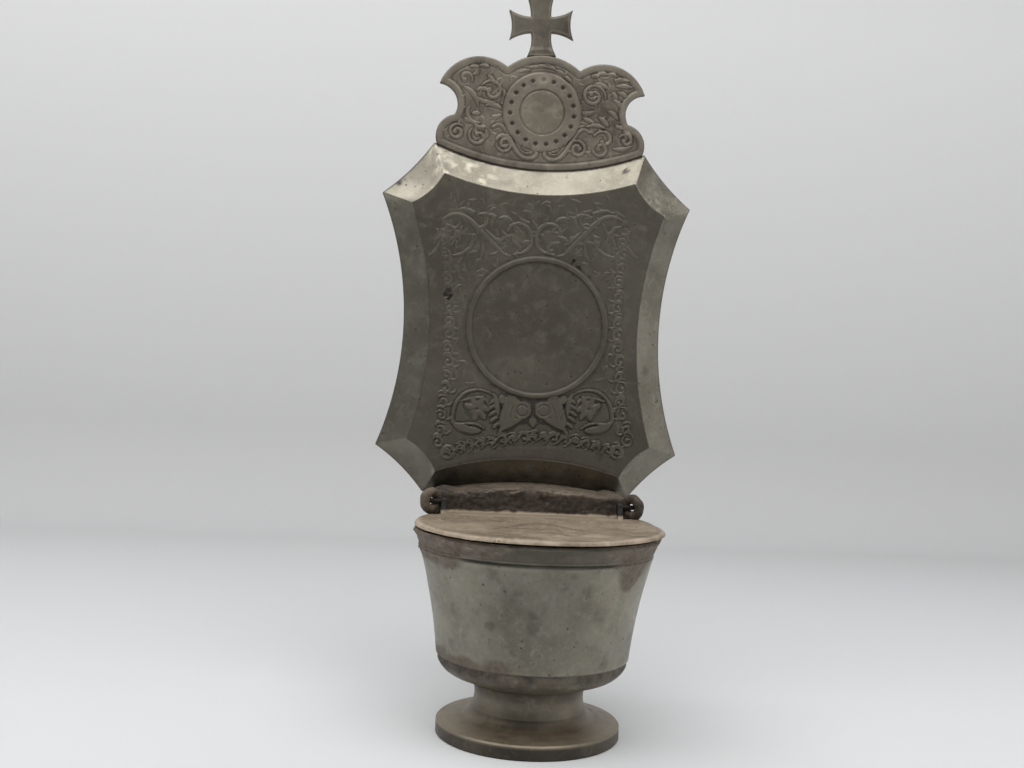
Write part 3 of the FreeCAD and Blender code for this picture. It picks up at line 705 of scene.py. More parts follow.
def build_plate():
    """Back plate with hollow sides and a sloping bevel round its sunk field."""
    per_side = [60, 16, 80, 16] * 2
    outer = ring_of(PLATE_RIGHT, PLATE_WAYS, per_side)
    field = ring_of(FIELD_RIGHT, FIELD_WAYS, per_side)
    middle = np.array(PLATE_MIDDLE)
    count = len(outer)
    shares = [0, 0.04, 0.08, 0.13, 0.2, 0.28, 0.36, 0.44, 0.52, 0.6, 0.68, 0.76, 0.84, 0.9,
              0.95, 1]
    floor, hollow = FIELD_Y + 0.9, FIELD_Y + 2
    rings = [(outer + (field - outer) * 0.2, WALL_Y), (outer, WALL_Y)]
    rings += [(outer + (field - outer) * t, EDGE_Y + (FIELD_Y - EDGE_Y) * t) for t in shares]
    rings += [(middle + (field - middle) * t, floor) for t in (0.985, 0.9, 0.6, 0.3)]
    front = len(rings)
    rings += [(middle + (field - middle) * t, hollow) for t in (0.97, 0.5)]
    tips = [(PLATE_MIDDLE[0], y, PLATE_MIDDLE[1]) for y in (floor, hollow)]
    vertices = np.concatenate([np.column_stack([ring[:, 0], np.full(count, y), ring[:, 1]])
                               for ring, y in rings] + [tips])

    def band(low, high):
        return [[low * count + i, low * count + (i + 1) % count,
                 high * count + (i + 1) % count, high * count + i] for i in range(count)]

    faces = [face for k in range(front - 1) for face in band(k, k + 1)]
    faces += band(front, 0) + band(front + 1, front)
    tip = len(vertices) - 2
    for i in range(count):
        j = (i + 1) % count
        faces += [[(front - 1) * count + i, (front - 1) * count + j, tip],
                  [(front + 1) * count + j, (front + 1) * count + i, tip + 1]]
    share = np.full(len(vertices), -1.0)
    share[2 * count:(2 + len(shares)) * count] = np.repeat(shares, count)
    on_bevel, in_front = (share > 0.01) & (share < 0.99), share >= 0
    uneven = 0.14 * noise(vertices, 15, 31) + 0.05 * noise(vertices, 4, 32)
    vertices[:, 1] += on_bevel * uneven
    x, z = vertices[:, 0], vertices[:, 2]
    stains = mottled(vertices, 6, 33, 3, -1) * on_bevel * np.where(z > 196, 0.15, 0.4)
    # Bevels below the top are darkened as tarnished metal, with painted shade that makes the
    # left ones darker than the right and the top-left and lower-left facets darker; the bottom
    # is painted lighter.
    shade = below(z, 197.5, 3) * (0.505 - 0.065 * np.tanh(x / 9))
    shade = shade - 0.14 * below(z, 96, 3) * below(abs(x), 40, 3)
    shade = shade + 0.3 * above(-x, 40, 3) * above(z, 200, 4)
    shade = shade + 0.13 * below(z, 100, 6) * (x < -38) + 0.08 * noise(vertices, 9, 34)
    pits = sum(smooth(1.3 - np.hypot(x - a, z - b) / 1.2) for a, b in BEVEL_PITS) * on_bevel
    # Pale mottling on the upper left of the top bevel: rubbed metal and painted highlight.
    mottle = 0.6 * mottled(vertices, 2.2, 35, 3, -0.3) * (z > 196)
    mottle = mottle * above(-x, 14, 8) * above(x, -46, 4)
    piece = add_piece("plate_casting", vertices, faces, "plate_pewter", "back_plate", sharp=22,
                      grime=0.75 * below(share, 0.07, 0.07) * in_front + stains + pits,
                      tarnish=shade * in_front,
                      wear=(0.3 * above(share, 0.94, 0.06) * (z > 190) + mottle) * in_front)
    soften = piece.modifiers.new("ridge_wear", "BEVEL")
    soften.width, soften.segments = setting("ridge_wear") * MM, 2
    soften.limit_method, soften.angle_limit = "ANGLE", math.radians(25)


class Ground:
    """Relief drawn over the points (u, v) of a sheet, in millimetres."""

    def __init__(self, u, v):
        self.u, self.v = u, v
        self.raised, self.moat, self.cut = (np.zeros(u.shape) for _ in range(3))

    def stroke(self, path, width, rise, tip=1.0):
        """Rounded ridge along a path, or a groove where rise is negative.

        width is half the ridge's width in its middle, and tip the share of it at the ends.
        """
        path = np.asarray(path, float)
        along = np.linspace(0, 1, len(path))
        widths = width * (tip + (1 - tip) * np.sin(np.pi * along) ** 0.7)
        low, high = path.min(0) - 1.7 * width, path.max(0) + 1.7 * width
        near = np.nonzero((self.u > low[0]) & (self.u < high[0])
                          & (self.v > low[1]) & (self.v < high[1]))[0]
        x, y = self.u[near], self.v[near]
        best = np.full(len(near), 2.0)
        for (ax, ay), (bx, by), wa, wb in zip(path, path[1:], widths, widths[1:]):
            dx, dy = bx - ax, by - ay
            t = np.clip(((x - ax) * dx + (y - ay) * dy) / max(dx * dx + dy * dy, 1e-9), 0, 1)
            gap = np.hypot(x - ax - t * dx, y - ay - t * dy)
            best = np.minimum(best, gap / (wa + (wb - wa) * t))
        shape = smooth((1 - best) * max(1.5, width / 0.6))
        layer = self.raised if rise > 0 else self.cut
        layer[near] = np.maximum(layer[near], abs(rise) * shape)
        if rise > 0:
            ditch = rise * around(best, 1.3, 0.45)
            self.moat[near] = np.maximum(self.moat[near], ditch)

    def ball(self, x, z, radius, rise):
        """Round boss."""
        self.stroke([(x, z), (x + 0.01, z)], radius, rise)

    def ring(self, x, z, radius, width, rise):
        """Round ridge or groove of a given half width."""
        turn = np.linspace(0, 2 * math.pi, 90)
        self.stroke(np.stack([x + radius * np.cos(turn), z + radius * np.sin(turn)], 1),
                    width, rise)

    def scrolls(self, items, width, rise, side=1):
        """Volutes, each (x, z, radius, start angle, turns), with a ball at the eye."""
        for x, z, radius, start, turns in items:
            t = np.linspace(0, 1, 40)
            a = math.radians(start) + 2 * math.pi * turns * t
            q = radius * (1 - 0.72 * t)
            path = np.stack([x + q * np.cos(a), z + q * np.sin(a)], 1)
            self.stroke(path * (side, 1), width, rise, 0.6)
            self.ball(side * path[-1][0], path[-1][1], width * 1.3, rise)

    def sprigs(self, items, width, rise, side=1):
        """Tapered curling leaves, each (x, z, heading, length, bend)."""
        for x, z, heading, length, bend in items:
            t = np.linspace(0, 1, 16)
            a = np.radians(heading + bend * t)
            path = np.stack([np.cos(a), np.sin(a)], 1) * (length / 15)
            path = np.array([(x, z)]) + np.cumsum(path, 0) - path[0]
            self.stroke(path * (side, 1), width, rise, 0.25)

    def height(self, share):
        """Relief with a ditch beside each ridge that is a share of its rise deep."""
        ditch = share * self.moat * (1 - smooth(self.raised / 0.15))
        return self.raised - ditch - self.cut


def spline(points):
    """Smooth line through a few points, in steps of 0.6 mm or less."""
    p = np.asarray(points, float)
    p = np.concatenate([[2 * p[0] - p[1]], p, [2 * p[-1] - p[-2]]])
    out = []
    for k in range(1, len(p) - 2):
        a, b, c, d = p[k - 1:k + 3]
        count = max(2, int(np.linalg.norm(c - b) / 0.6))
        for t in np.arange(count) / count:
            out.append(0.5 * (2 * b + (c - a) * t + (2 * a - 5 * b + 4 * c - d) * t * t
                              + (3 * b - a - 3 * c + d) * t ** 3))
    return np.array(out + [p[-2]])


LOW_EYE = (4.3, 114.7)
LOW_ROSE = (22.0, 115.6)
LOW_FORMS = [
    ([(8.4, 118.0), (9.6, 113.6), (10.8, 110.2)], 3.3, 0.9),
    ([(4.4, 111.6), (8.0, 109.8), (13.2, 107.0)], 1.5, 0.4),
    ([(7.9, 118.6), (8.0, 118.2)], 1.5, 1.0), ([(12.1, 119.2), (12.0, 118.6)], 1.6, 1.0),
    ([(15.6, 121.2), (14.4, 118.0), (13.8, 113.0)], 1.2, 0.5)]
LOW_TEETH = [
    (13.8, 119.4, -15, 3.8, -35), (14.0, 117.0, -10, 4.0, -40), (13.8, 114.6, -10, 4.4, -40),
    (13.6, 112.2, -15, 4.2, -35), (13.0, 109.8, -20, 3.6, -35), (12.2, 107.4, -50, 2.6, -20)]
LOW_ARC = [
    (15.4, 120.6), (18.4, 122.2), (22.7, 122.9), (27.2, 121.4), (30.4, 117.9), (31.7, 113.6),
    (31.4, 109.8), (28.0, 109.3), (24.7, 109.6), (21.8, 109.0), (19.2, 107.4)]
ROSE_LEAVES = [
    (15, 4.2, 1.25), (72, 3.8, 1.1), (135, 4.4, 1.2), (190, 3.6, 1.3), (243, 4.3, 1.15),
    (300, 3.7, 1.25)]
LOW_HORN = [(30.9, 109.2), (27.6, 107.7), (24.2, 106.8), (21.2, 106.6)]
LOW_INNER = [(28.6, 118.4), (24.9, 119.4), (21.0, 119.8), (18.2, 118.2), (17.0, 115.0)]
TOP_FROND = [
    (36.2, 187.9), (35.6, 189.9), (33.4, 191.4), (30.2, 191.9), (26.6, 190.6), (22.8, 187.4),
    (19.1, 183.6), (15.4, 180.0), (11.9, 176.6), (9.3, 175.8)]
TOP_VOLUTE = [
    (10.6, 185.6), (8.8, 188.0), (5.4, 188.6), (2.4, 186.9), (1.0, 183.4), (1.4, 179.9),
    (4.0, 177.4), (8.0, 176.4)]
TOP_SPRIGS = [
    (34.9, 188.0, 190, 9.5, 75), (31.5, 185.4, -100, 6.0, 40), (38.6, 186.2, 200, 5.5, 140),
    (23.0, 187.0, 200, 7.0, -110), (12.4, 180.4, 30, 9.5, 20), (13.4, 181.4, 120, 5.0, 60),
    (8.0, 181.4, 200, 4.5, 60), (37.5, 181.0, -80, 7.0, 50), (34.0, 178.0, -130, 6.0, 70),
    (26.0, 179.0, -60, 7.0, 60), (28.5, 187.5, -80, 6.5, 50), (24.2, 184.2, -95, 7.5, 45),
    (20.3, 180.6, -100, 6.0, 40), (30.0, 194.0, 170, 7.0, 40), (22.0, 192.0, 160, 7.0, 60),
    (14.0, 190.5, 150, 6.0, 80), (16.4, 186.6, 60, 6.0, 90)]
FIELD_PITS = [((-34.2, 161.0), 1.3), ((-33.2, 159.2), 0.8), ((17.2, 170.4), 1.4),
              ((15.6, 173.6), 0.8)]


def wander(seed, *shape):
    """Steady random numbers from 0 to 1, the same at each run."""
    return np.random.RandomState(seed).rand(*shape)


def side_of_strip(z):
    """Middle of the leaf strip beside the ring, at a height."""
    return 33.6 + 0.0021 * (z - 148) ** 2


def draw_low_leaves(ground, depth, side):
    """One half of the ornament below the ring: volute, split leaf, rosette and horn."""
    (eye_x, eye_z), (rose_x, rose_z) = LOW_EYE, LOW_ROSE
    flip = np.array((side, 1))
    ground.ball(eye_x * side, eye_z, 3.8, depth)
    for path, width, tip in LOW_FORMS:
        ground.stroke(spline(path) * flip, width, depth, tip)
    turn = np.radians(np.linspace(150, -170, 40))
    eye = np.stack([eye_x + 2.2 * np.cos(turn), eye_z + 2.2 * np.sin(turn)], 1)
    ground.stroke(eye * flip, 0.45, -depth * 0.6)
    ground.sprigs([(10.0, 120.2, -92, 3.6, -12), (7.4, 117.2, -60, 6.0, -25),
                   (12.6, 117.0, -100, 6.5, -14)], 0.4, -depth * 0.5, side)
    ground.sprigs(LOW_TEETH, 0.95, depth * 0.9, side)
    ground.stroke(spline(LOW_ARC) * flip, 0.8, depth, 0.5)
    ground.stroke(spline(LOW_HORN) * flip, 1.7, depth * 0.9, 0.45)
    ground.stroke(spline(LOW_INNER) * flip, 0.75, depth * 0.8, 0.5)
    ground.ball(rose_x * side, rose_z, 3.4, depth * 0.6)
    for k, (turn, reach, size) in enumerate(ROSE_LEAVES):
        a = math.radians(turn)
        leaf = (rose_x + 1.2 * math.cos(a), rose_z + 1.2 * math.sin(a), turn - 25, reach,
                60 - 30 * (k % 3))
        ground.sprigs([leaf], size, depth * (0.95 - 0.12 * (k % 2)), side)
    ground.stroke([(rose_x * side, 115.4), (22.4 * side, 115.2)], 0.7, -depth * 0.8)


def draw_strip(ground, depth, side):
    """Curls climbing beside the ring, worn fainter with height and more so on the left."""
    for k, (a, b, c, d, e) in enumerate(wander(3 + side, 17, 5)):
        z = 101.5 + 5.3 * k + a
        x = side_of_strip(z) + b - 0.5
        faint = depth * max(0.2, 0.78 - 0.027 * k - (0.12 if side < 0 and k > 4 else 0))
        ground.scrolls([(x, z, 1.9 + 0.7 * c, 90 - 180 * (k % 2) + 60 * d - 30,
                         (0.9 - 1.8 * (k % 2)) * (0.8 + 0.5 * e))], 0.62, faint, side)
        ground.sprigs([(x - 1.4, z + 2.0, 60 + 60 * d, 4.6, -150),
                       (x + 1.8, z + 1.2, 130 - 60 * c, 4.0, 130),
                       (x - 1.2, z - 1.2, 210 + 60 * e, 3.8, -120)], 0.6, faint * 0.85, side)


def draw_border(ground, depth):
    """Running curls along the foot of the field."""
    for k, (a, b, c, d, e) in enumerate(wander(12, 17, 5)):
        x = 4.2 * (k - 8) + a - 0.5
        z = 103.4 - 0.0052 * x * x + 0.8 * b
        ground.scrolls([(x + 0.4, z, 1.8 + 0.5 * c, 160 + 80 * d, -0.65 - 0.3 * e)], 0.62,
                       depth * 0.85)
        ground.sprigs([(x - 2.6, z - 1.4, 50 + 40 * c, 4.6, -70),
                       (x + 0.2, z - 2.4, 10 + 30 * d, 4.0, 60),
                       (x - 1.8, z + 1.8, 10 + 50 * e, 3.4, -60),
                       (x + 1.2, z + 0.6, 300 * a, 2.6, 50),
                       (x - 0.6, z + 2.4, 40 * b, 3.6, -110)], 0.55, depth * 0.8)


def draw_leaf_fill(ground, depth):
    """Low leaves that fill the ground between the larger forms."""
    columns, rows = 27, 30
    spots = wander(5, columns, rows, 5)
    for i, k in np.ndindex(columns, rows):
        a, b, c, d, e = spots[i, k]
        x, z = 3.3 * (i - 13) + 2.4 * a - 1.2, 99 + 3.4 * k + 2.4 * b - 1.2
        out = math.hypot(x - RING_MIDDLE[0], z - RING_MIDDLE[1])
        low = z < 124 and abs(x) < 33
        if out > 30.4 and not low and abs(x) < side_of_strip(z) - 2.2 and z < 198:
            ground.sprigs([(x, z, 360 * c, 2.8 + 1.6 * d, 240 * e - 120)], 0.62,
                          depth * (0.2 + 0.24 * e))


def draw_field(ground, depth):
    """Scrolls and leaves between the plate's ring and its edge."""
    draw_leaf_fill(ground, depth)
    draw_border(ground, depth)
    ground.stroke([(0, 112.2), (0, 110.4), (0, 108.2)], 1.7, depth, 0.3)
    for side in (1, -1):
        flip = np.array((side, 1))
        draw_low_leaves(ground, depth, side)
        draw_strip(ground, depth, side)
        ground.ring(33.6 * side, 98.2, 2.4, 0.75, depth * 0.6)
        ground.ball(33.6 * side, 98.2, 0.9, depth * 0.6)
        ground.stroke(spline(TOP_FROND) * flip, 1.0, depth * 0.5, 0.35)
        ground.stroke(spline(TOP_VOLUTE) * flip, 0.8, depth * 0.55, 0.6)
        ground.ball(5.9 * side, 183.4, 2.7, depth * 0.25)
        ground.sprigs(TOP_SPRIGS, 0.8, depth * 0.5, side)
    for (x, z), size in FIELD_PITS:
        ground.stroke([(x - 0.4, z - 0.6), (x + 0.5, z + 0.7)], size, -depth * 1.2)


STRAP = [
    (-19.7, -7.1), (-16.9, -6.0), (-14.4, -7.9), (-12.2, -11.6), (-10.2, -15.4), (-7.4, -18.3),
    (-3.6, -18.7), (-1.6, -17.2), (-2.2, -15.4), (-4.9, -15.6), (-7.0, -14.6)]
LEFT_SCROLLS = [
    (-31.2, 11.6, 2.9, -31, 0.75), (-20.4, 7.0, 4.6, 150, -1.0), (-33.8, -9.9, 3.3, 46, 1.35),
    (-25.2, -11.2, 4.0, 130, 0.95), (-14.5, -13.6, 3.4, 180, 1.3)]
LEFT_SPRIGS = [
    (-29.6, 16.2, 30, 3.6, -60), (-25.8, 16.8, 25, 4.0, -50), (-26.3, 15.6, -95, 3.2, -60),
    (-26.5, 7.0, 50, 6.0, -110), (-26.9, 4.8, -45, 9.0, 60), (-16.4, 8.2, -40, 7.0, -100),
    (-32.4, 8.3, -10, 11.0, -75), (-28.7, 0.8, -140, 11.0, 160), (-24.9, -2.2, 165, 3.0, 30),
    (-22.9, 1.1, 30, 7.5, -75), (-27.0, -6.2, -55, 5.0, 80), (-22.4, -8.2, -60, 4.0, -60),
    (-18.0, -12.6, 80, 7.5, -140), (-20.5, -2.8, -20, 4.5, 60), (-31.0, -4.0, -60, 4.0, 80),
    (-22.5, 13.4, -30, 5.0, -40)]
RIGHT_SCROLLS = [
    (20.5, 7.6, 4.9, -10, 1.4), (24.2, -13.4, 3.3, 200, 0.95), (14.8, -14.0, 3.7, 140, -1.35),
    (25.4, -9.8, 4.2, 160, -0.8), (34.4, -9.6, 3.0, 150, -0.9)]
RIGHT_SPRIGS = [
    (19.4, 15.2, 50, 3.2, -90), (22.2, 16.2, 55, 3.8, -95), (25.7, 16.4, 40, 4.2, -85),
    (28.6, 14.3, 25, 6.2, -45), (29.3, 12.1, 12, 6.6, -25), (30.0, 9.9, -8, 5.6, -35),
    (28.4, 6.5, -10, 6.0, -60), (26.2, 2.0, -5, 6.0, -60), (22.5, -0.6, -15, 6.0, -50),
    (15.5, 1.0, -25, 6.0, 60), (16.8, -1.6, -10, 4.4, -20), (18.1, -4.9, 30, 8.0, -60),
    (29.7, -3.6, -30, 6.0, 60), (33.0, -5.6, 0, 5.0, -70), (29.2, -13.0, -10, 8.0, 40),
    (20.2, 12.6, 10, 6.5, -50), (13.6, 8.0, -50, 4.0, -40), (27.6, 9.6, -20, 4.0, -60)]
CAP_SPRIGS = [
    (-9.6, 15.2, 45, 4.6, -60), (-6.2, 17.0, 40, 4.4, -60), (-2.8, 18.0, 30, 4.2, -60),
    (1.0, 18.0, 15, 4.2, -55), (4.6, 16.8, 5, 4.2, -50), (8.0, 14.8, -10, 4.2, -45)]


def draw_crest(ground, depth):
    """Wings of leafy scrolls about a studded medallion with a bare middle."""
    ground.scrolls(LEFT_SCROLLS + RIGHT_SCROLLS, 0.78, depth)
    ground.sprigs(LEFT_SPRIGS + RIGHT_SPRIGS, 0.95, depth * 0.9)
    ground.sprigs(CAP_SPRIGS, 0.75, depth * 0.9)
    for a, b, c, d, e in wander(8, 180, 5):
        x, z = 76 * a - 38, 34 * b - 17
        if math.hypot(x, z) > 17.5:
            ground.sprigs([(x, z, 360 * c, 2.0 + 1.6 * d, 220 * e - 110)], 0.5, depth * 0.4)
    for side in (1, -1):
        ground.stroke(spline(STRAP) * (side, 1), 0.85, depth, 0.8)
        ground.sprigs([(-7.0, -16.4, -30, 4.4, 70)], 0.5, depth * 0.8, side)
    r = np.hypot(ground.u, ground.v)
    band = below(r, 15.9, 0.7) * above(r, 8.8, 0.5)
    ground.raised = np.where(r < 16.2, np.minimum(ground.raised, depth * 0.5 * band),
                             ground.raised)
    ground.raised = np.maximum(ground.raised, depth * 0.5 * band)
    ground.moat = np.where(r < 15.6, 0, ground.moat)
    ground.ring(0, 0, 8.9, 0.55, -depth * 0.6)
    ground.ring(0, 0, 16.2, 0.5, -depth * 0.25)
    for a in np.linspace(0, 2 * math.pi, 20)[:-1]:
        ground.stroke([(12.9 * math.sin(a), 12.9 * math.cos(a))] * 2, 1.2, -depth * 1.2)


def build_field():
    """Thin sheet with the ornament, in the plate's sunk field."""
    depth = setting("field_relief")
    outline = ring_of(FIELD_RIGHT, FIELD_WAYS, [90, 20, 110, 20] * 2)
    side, up = math.sin(FIELD_LEAN), math.cos(FIELD_LEAN)
    middle = PLATE_MIDDLE[1]

    def top(x, z, d):
        u = (x + 0.3) * up + (z - middle) * side
        v = (z - middle) * up - x * side + middle
        ground = Ground(u, v)
        draw_field(ground, depth)
        p = np.stack([x, 0 * x, z], 1)
        bed = -0.1 + 0.06 * noise(p, 7, 41) + 0.03 * noise(p, 1.6, 42)
        bed = bed + 0.14 * below(v, 100.6 - 0.0026 * u ** 2, 0.7) * smooth(d / 1.2)
        return bed + ground.height(0.42) * smooth(d / 1.2)

    points, faces, d = skin(outline, 0.36, top, -1.0)
    x, z, rise = points.T
    r = np.hypot(x - RING_MIDDLE[0], z - RING_MIDDLE[1]) - RING_RADIUS
    pits = sum(smooth(1.5 - np.hypot(x - a, z - b) / (1.2 * size))
               for (a, b), size in FIELD_PITS)
    margin = below(z, 100.8 - 0.0026 * x ** 2, 0.8) * smooth(d / 0.6)
    plain = below(r, -1.1, 0.6)
    grime = 0.35 * margin + 0.7 * around(r, 1.9, 0.8) + 0.5 * below(d, 0.5, 0.5) + pits
    grime = grime + 0.5 * above(r, -2.7, 1.2) * plain + 0.4 * mottled(points, 6, 43, 3, -0.8)
    add_piece("plate_relief", upright(points, FIELD_Y), faces, "plate_pewter",
              finish=field_patina,
              relief=np.clip((rise + 0.1) / 0.32, -1, 1) * (1 - plain) * (rise > -0.9),
              # Darker towards the right and the bottom: painted shade.
              tarnish=0.1 * above(x, -5, 20) + 0.16 * below(z, 128, 20),
              grime=grime)


def build_ring():
    """Round wire ring on the field."""
    long, short = 260, 16    # points the long way and the short way round the wire
    half = setting("ring_width") / 2
    vertices, faces = [], []
    for i, k in np.ndindex(long, short):
        a, b = i * 2 * math.pi / long, k * 2 * math.pi / short
        r = RING_RADIUS + half * math.cos(b)
        vertices.append((RING_MIDDLE[0] + r * math.cos(a), RING_Y - half * math.sin(b),
                         RING_MIDDLE[1] + r * math.sin(a)))
        j, m = (i + 1) % long, (k + 1) % short
        faces.append([i * short + k, i * short + m, j * short + m, j * short + k])
    vertices = np.array(vertices)
    vertices[:, 1] += 0.12 * noise(vertices, 6, 44) + 0.1 * noise(vertices, 2, 46)
    crown = below(vertices[:, 1], 40.2, 0.7)
    add_piece("field_ring", vertices, faces, "plate_pewter", finish=field_patina,
              wear=0.10 * crown * mottled(vertices, 5, 45, 1, 0.8),
              tarnish=0.12 + 0.2 * mottled(vertices, 7, 47, 2, 0),
              grime=0.8 * (1 - crown))


CREST = mirrored([(41.3, 219.1, 0, 210.9), (35.0, 231.2, 42.0, 223.8),
                  (41.3, 243.4, 33.9, 236.0), (14.6, 251.45, 27.0, 254.8)], (0, 256.8))


def build_crest():
    """Cut-out crest with scrolls, a rolled border and a bare medallion."""
    depth = setting("crest_relief")

    def top(x, z, d):
        ground = Ground(x - CREST_MIDDLE[0], z - CREST_MIDDLE[1])
        draw_crest(ground, depth)
        away = above(np.hypot(ground.u, ground.v), 16, 0.5)
        border = 0.30 * below(d, 2.5, 0.6) * away
        groove = 0.20 * around(d, 3.0, 0.55) * away
        relief = ground.height(0.45) * np.maximum(above(d, 2.3, 0.6), 1 - away)
        bed = 0.05 * noise(np.stack([x, 0 * x, z], 1), 6, 51) - 0.1
        return relief + border - groove - rounding(d, 0.7, 0.5) + bed

    points, faces, d = skin(trace(CREST, 0.5), 0.27, top, CREST_Y - WALL_Y)
    x, z, rise = points.T
    front = rise > CREST_Y - WALL_Y + 0.05
    disc = below(np.hypot(x, z - CREST_MIDDLE[1]), 9, 0.4)
    spot = smooth(1.3 - np.hypot(x / 3.6, (z - 247.0) / 2.6))
    low = below(z, 218.4 + 0.005 * x ** 2, 7) * mottled(points, 4, 53, 1, 0.7)
    add_piece("crest_casting", upright(points, CREST_Y), faces, "crest_pewter", "crest",
              relief=np.clip((rise + 0.1) / 0.32, -1, 1) * (1 - disc) * front,
              wear=np.maximum(0.22 * disc, 0.5 * spot),
              grime=(0.45 * low + 0.5 * below(d, 0.3, 0.3) * front
                     + 0.35 * mottled(points, 5, 52, 3, -0.9)))


def build_cross():
    """Small cross with spreading arms, leaning a little, soldered on the crest."""
    side, up = math.sin(CROSS_LEAN), math.cos(CROSS_LEAN)
    arm, tip, waist, shaft, bar, low = 13.0, 6.2, 3.2, 4.1, 3.7, 6.0
    right = [(low, -12.8), (shaft, -waist, shaft, -7.5), (arm, -tip, 7.5, -bar),
             (arm, tip, arm - 1.2, 0), (shaft, waist, 7.5, bar), (tip, arm, shaft + 0.3, 7.5)]
    flat = trace(mirrored(right, (0, arm - 1.2)), 0.5)
    outline = flat @ [[up, side], [-side, up]] + (-35 * side, CREST_MIDDLE[1] + 35 * up)

    def top(x, z, d):
        p = np.stack([x, 0 * x, z], 1)
        solder = 0.4 * around(z, 258.4, 2) * mottled(p, 3, 62, 1, 0.6)
        bed = 0.09 * noise(p, 7, 61) + 0.03 * noise(p, 2, 63) - 0.05
        return solder - 0.5 * below(z, 257.6, 2.4) - rounding(d, 0.9, 0.6) + bed

    points, faces, d = skin(outline, 0.34, top, CROSS_Y - WALL_Y)
    patch = below(points[:, 1], 258.6, 3.2) * mottled(points, 3, 64, 3, 0.2)
    add_piece("cross_casting", upright(points, CROSS_Y), faces, "crest_pewter", "cross",
              wear=0.7 * patch + 0.3 * around(d, 0.8, 0.5), tarnish=0.36,
              grime=0.4 * mottled(points, 5, 65, 3, -0.7))


def build_hinge():
    """Ring eyes of the hood, lugs and pegs of the lid, and the finish of the hanging eye."""

    def eye_push(p):
        return 0.75 + 0.35 * noise(p, 2.4, 25) + 0.15 * noise(p, 1.0, 18)

    def peg_push(p):
        return 0.12 + 0.2 * noise(p, 1.6, 29)

    def peg_marks(p, normals):
        # The lug's upper part is painted dark as shade, where the hood's shadow falls.
        return {"tarnish": 0.93 * above(p[:, 2], 76.4, 1.2),
                "wear": below(p[:, 2], 77.4, 1.0)}

    for hand, dark in (("left", 0.4), ("right", 0.75)):
        def eye_marks(p, normals):
            top = smooth(0.5 + normals[:, 2] + noise(p, 2, 31))
            return {"grime": dark * mottled(p, 1.8, 26, 1, 0.6), "wear": (0.8 - dark) * top}

        recast("hinge_eye_" + hand, "ring_eye_" + hand, 0.26, eye_push, eye_marks)
        recast("lid_peg_" + hand, "lug_and_peg_" + hand, 0.22, peg_push, peg_marks, "lid")
    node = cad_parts["hanging_eye"]
    node.data.materials.clear()
    node.data.materials.append(plate_pewter())


# Stage.

def build_stage():
    """Pale floor that bends up into a wall, three soft lamps and the camera."""
    scene = bpy.context.scene
    scene.view_settings.view_transform = "Standard"
    camera = bpy.data.objects.new("stoup_camera", bpy.data.cameras.new("stoup_camera"))
    camera.data.sensor_width, camera.data.lens = 36.0, 42.1875    # millimetres
    camera.data.clip_start = 0.01
    camera.location = (-0.048385, -0.432864, 0.129705)
    camera.rotation_euler = [math.radians(a) for a in (89.42495, -2.55195, -4.88097)]
    scene.collection.objects.link(camera)
    scene.camera = camera

    n = Nodes("stage_pale")
    place = n.add("SeparateXYZ", {0: n.add("TexCoord").outputs["Object"]})
    back, height = place.outputs[1], place.outputs[2]
    # The floor is painted lighter in front than at the back, and the wall darker near the floor
    # than higher up: painted light falloff over the backdrop.
    floor = n.mix(n.span(back, 0.02, 0.46), (0.83, 0.84, 0.85, 1), (0.66, 0.665, 0.67, 1))
    shade = n.mix(n.span(height, 0.0, 0.05), floor, (0.665, 0.665, 0.665, 1))
    shade = n.mix(n.span(height, 0.05, 0.42), shade, (0.84, 0.84, 0.84, 1))
    shader = n.add("BsdfPrincipled", {"Base Color": shade, "Roughness": 0.9})
    shader.inputs["Specular IOR Level"].default_value = 0.1
    n.add("OutputMaterial", {"Surface": shader.outputs[0]})
    near, far, bend, high, half = -1.6, 0.47, 0.08, 2.2, 2.6    # the sweep, in metres
    profile = [(near, 0.0), (far, 0.0)]
    profile += [(far + bend * math.sin(a), bend - bend * math.cos(a))
                for a in np.linspace(0, math.pi / 2, 25)[1:]]
    profile += [(far + bend, high)]
    mesh = bpy.data.meshes.new("stage_sweep")
    mesh.from_pydata([(x, y, z) for y, z in profile for x in (-half, half)], [],
                     [[2 * k, 2 * k + 1, 2 * k + 3, 2 * k + 2]
                      for k in range(len(profile) - 1)])
    mesh.shade_smooth()
    sweep = bpy.data.objects.new("stage_sweep", mesh)
    sweep.data.materials.append(n.material)
    scene.collection.objects.link(sweep)

    def lamp(name, place, size, power):
        light = bpy.data.lights.new(name, "AREA")
        light.shape, light.size, light.size_y = "RECTANGLE", size[0], size[1]
        light.energy = power
        item = bpy.data.objects.new(name, light)
        item.location = place
        item.rotation_mode = "QUATERNION"
        item.rotation_quaternion = (Vector((0, 0.02, 0.13)) - Vector(place)).to_track_quat(
            "-Z", "Y")
        scene.collection.objects.link(item)

    lamp("soft_above", (-0.12, -0.30, 0.95), (1.7, 0.8), 8.8)
    lamp("soft_right", (1.0, -0.35, 0.30), (0.6, 0.6), 1.1)
    lamp("soft_left", (-1.0, -0.35, 0.30), (0.6, 0.6), 0.25)
    world = bpy.data.worlds.new("soft_room")
    world.use_nodes = True
    background = world.node_tree.nodes["Background"]
    background.inputs["Color"].default_value = (1.0, 1.0, 1.0, 1)
    background.inputs["Strength"].default_value = 0.3
    scene.world = world


# Settings, operators and panel.

def colour(label, text, value):
    """A colour in the panel."""
    return bpy.props.FloatVectorProperty(name=label, description=text, default=value, size=3,
                                         min=0, max=1, subtype="COLOR_GAMMA")


def length(label, text, value, most=2):
    """A length in the panel, given in millimetres."""
    return bpy.props.FloatProperty(name=label, description=text, default=value * MM, min=0,
                                   max=most * MM, precision=5, subtype="DISTANCE",
                                   unit="LENGTH")


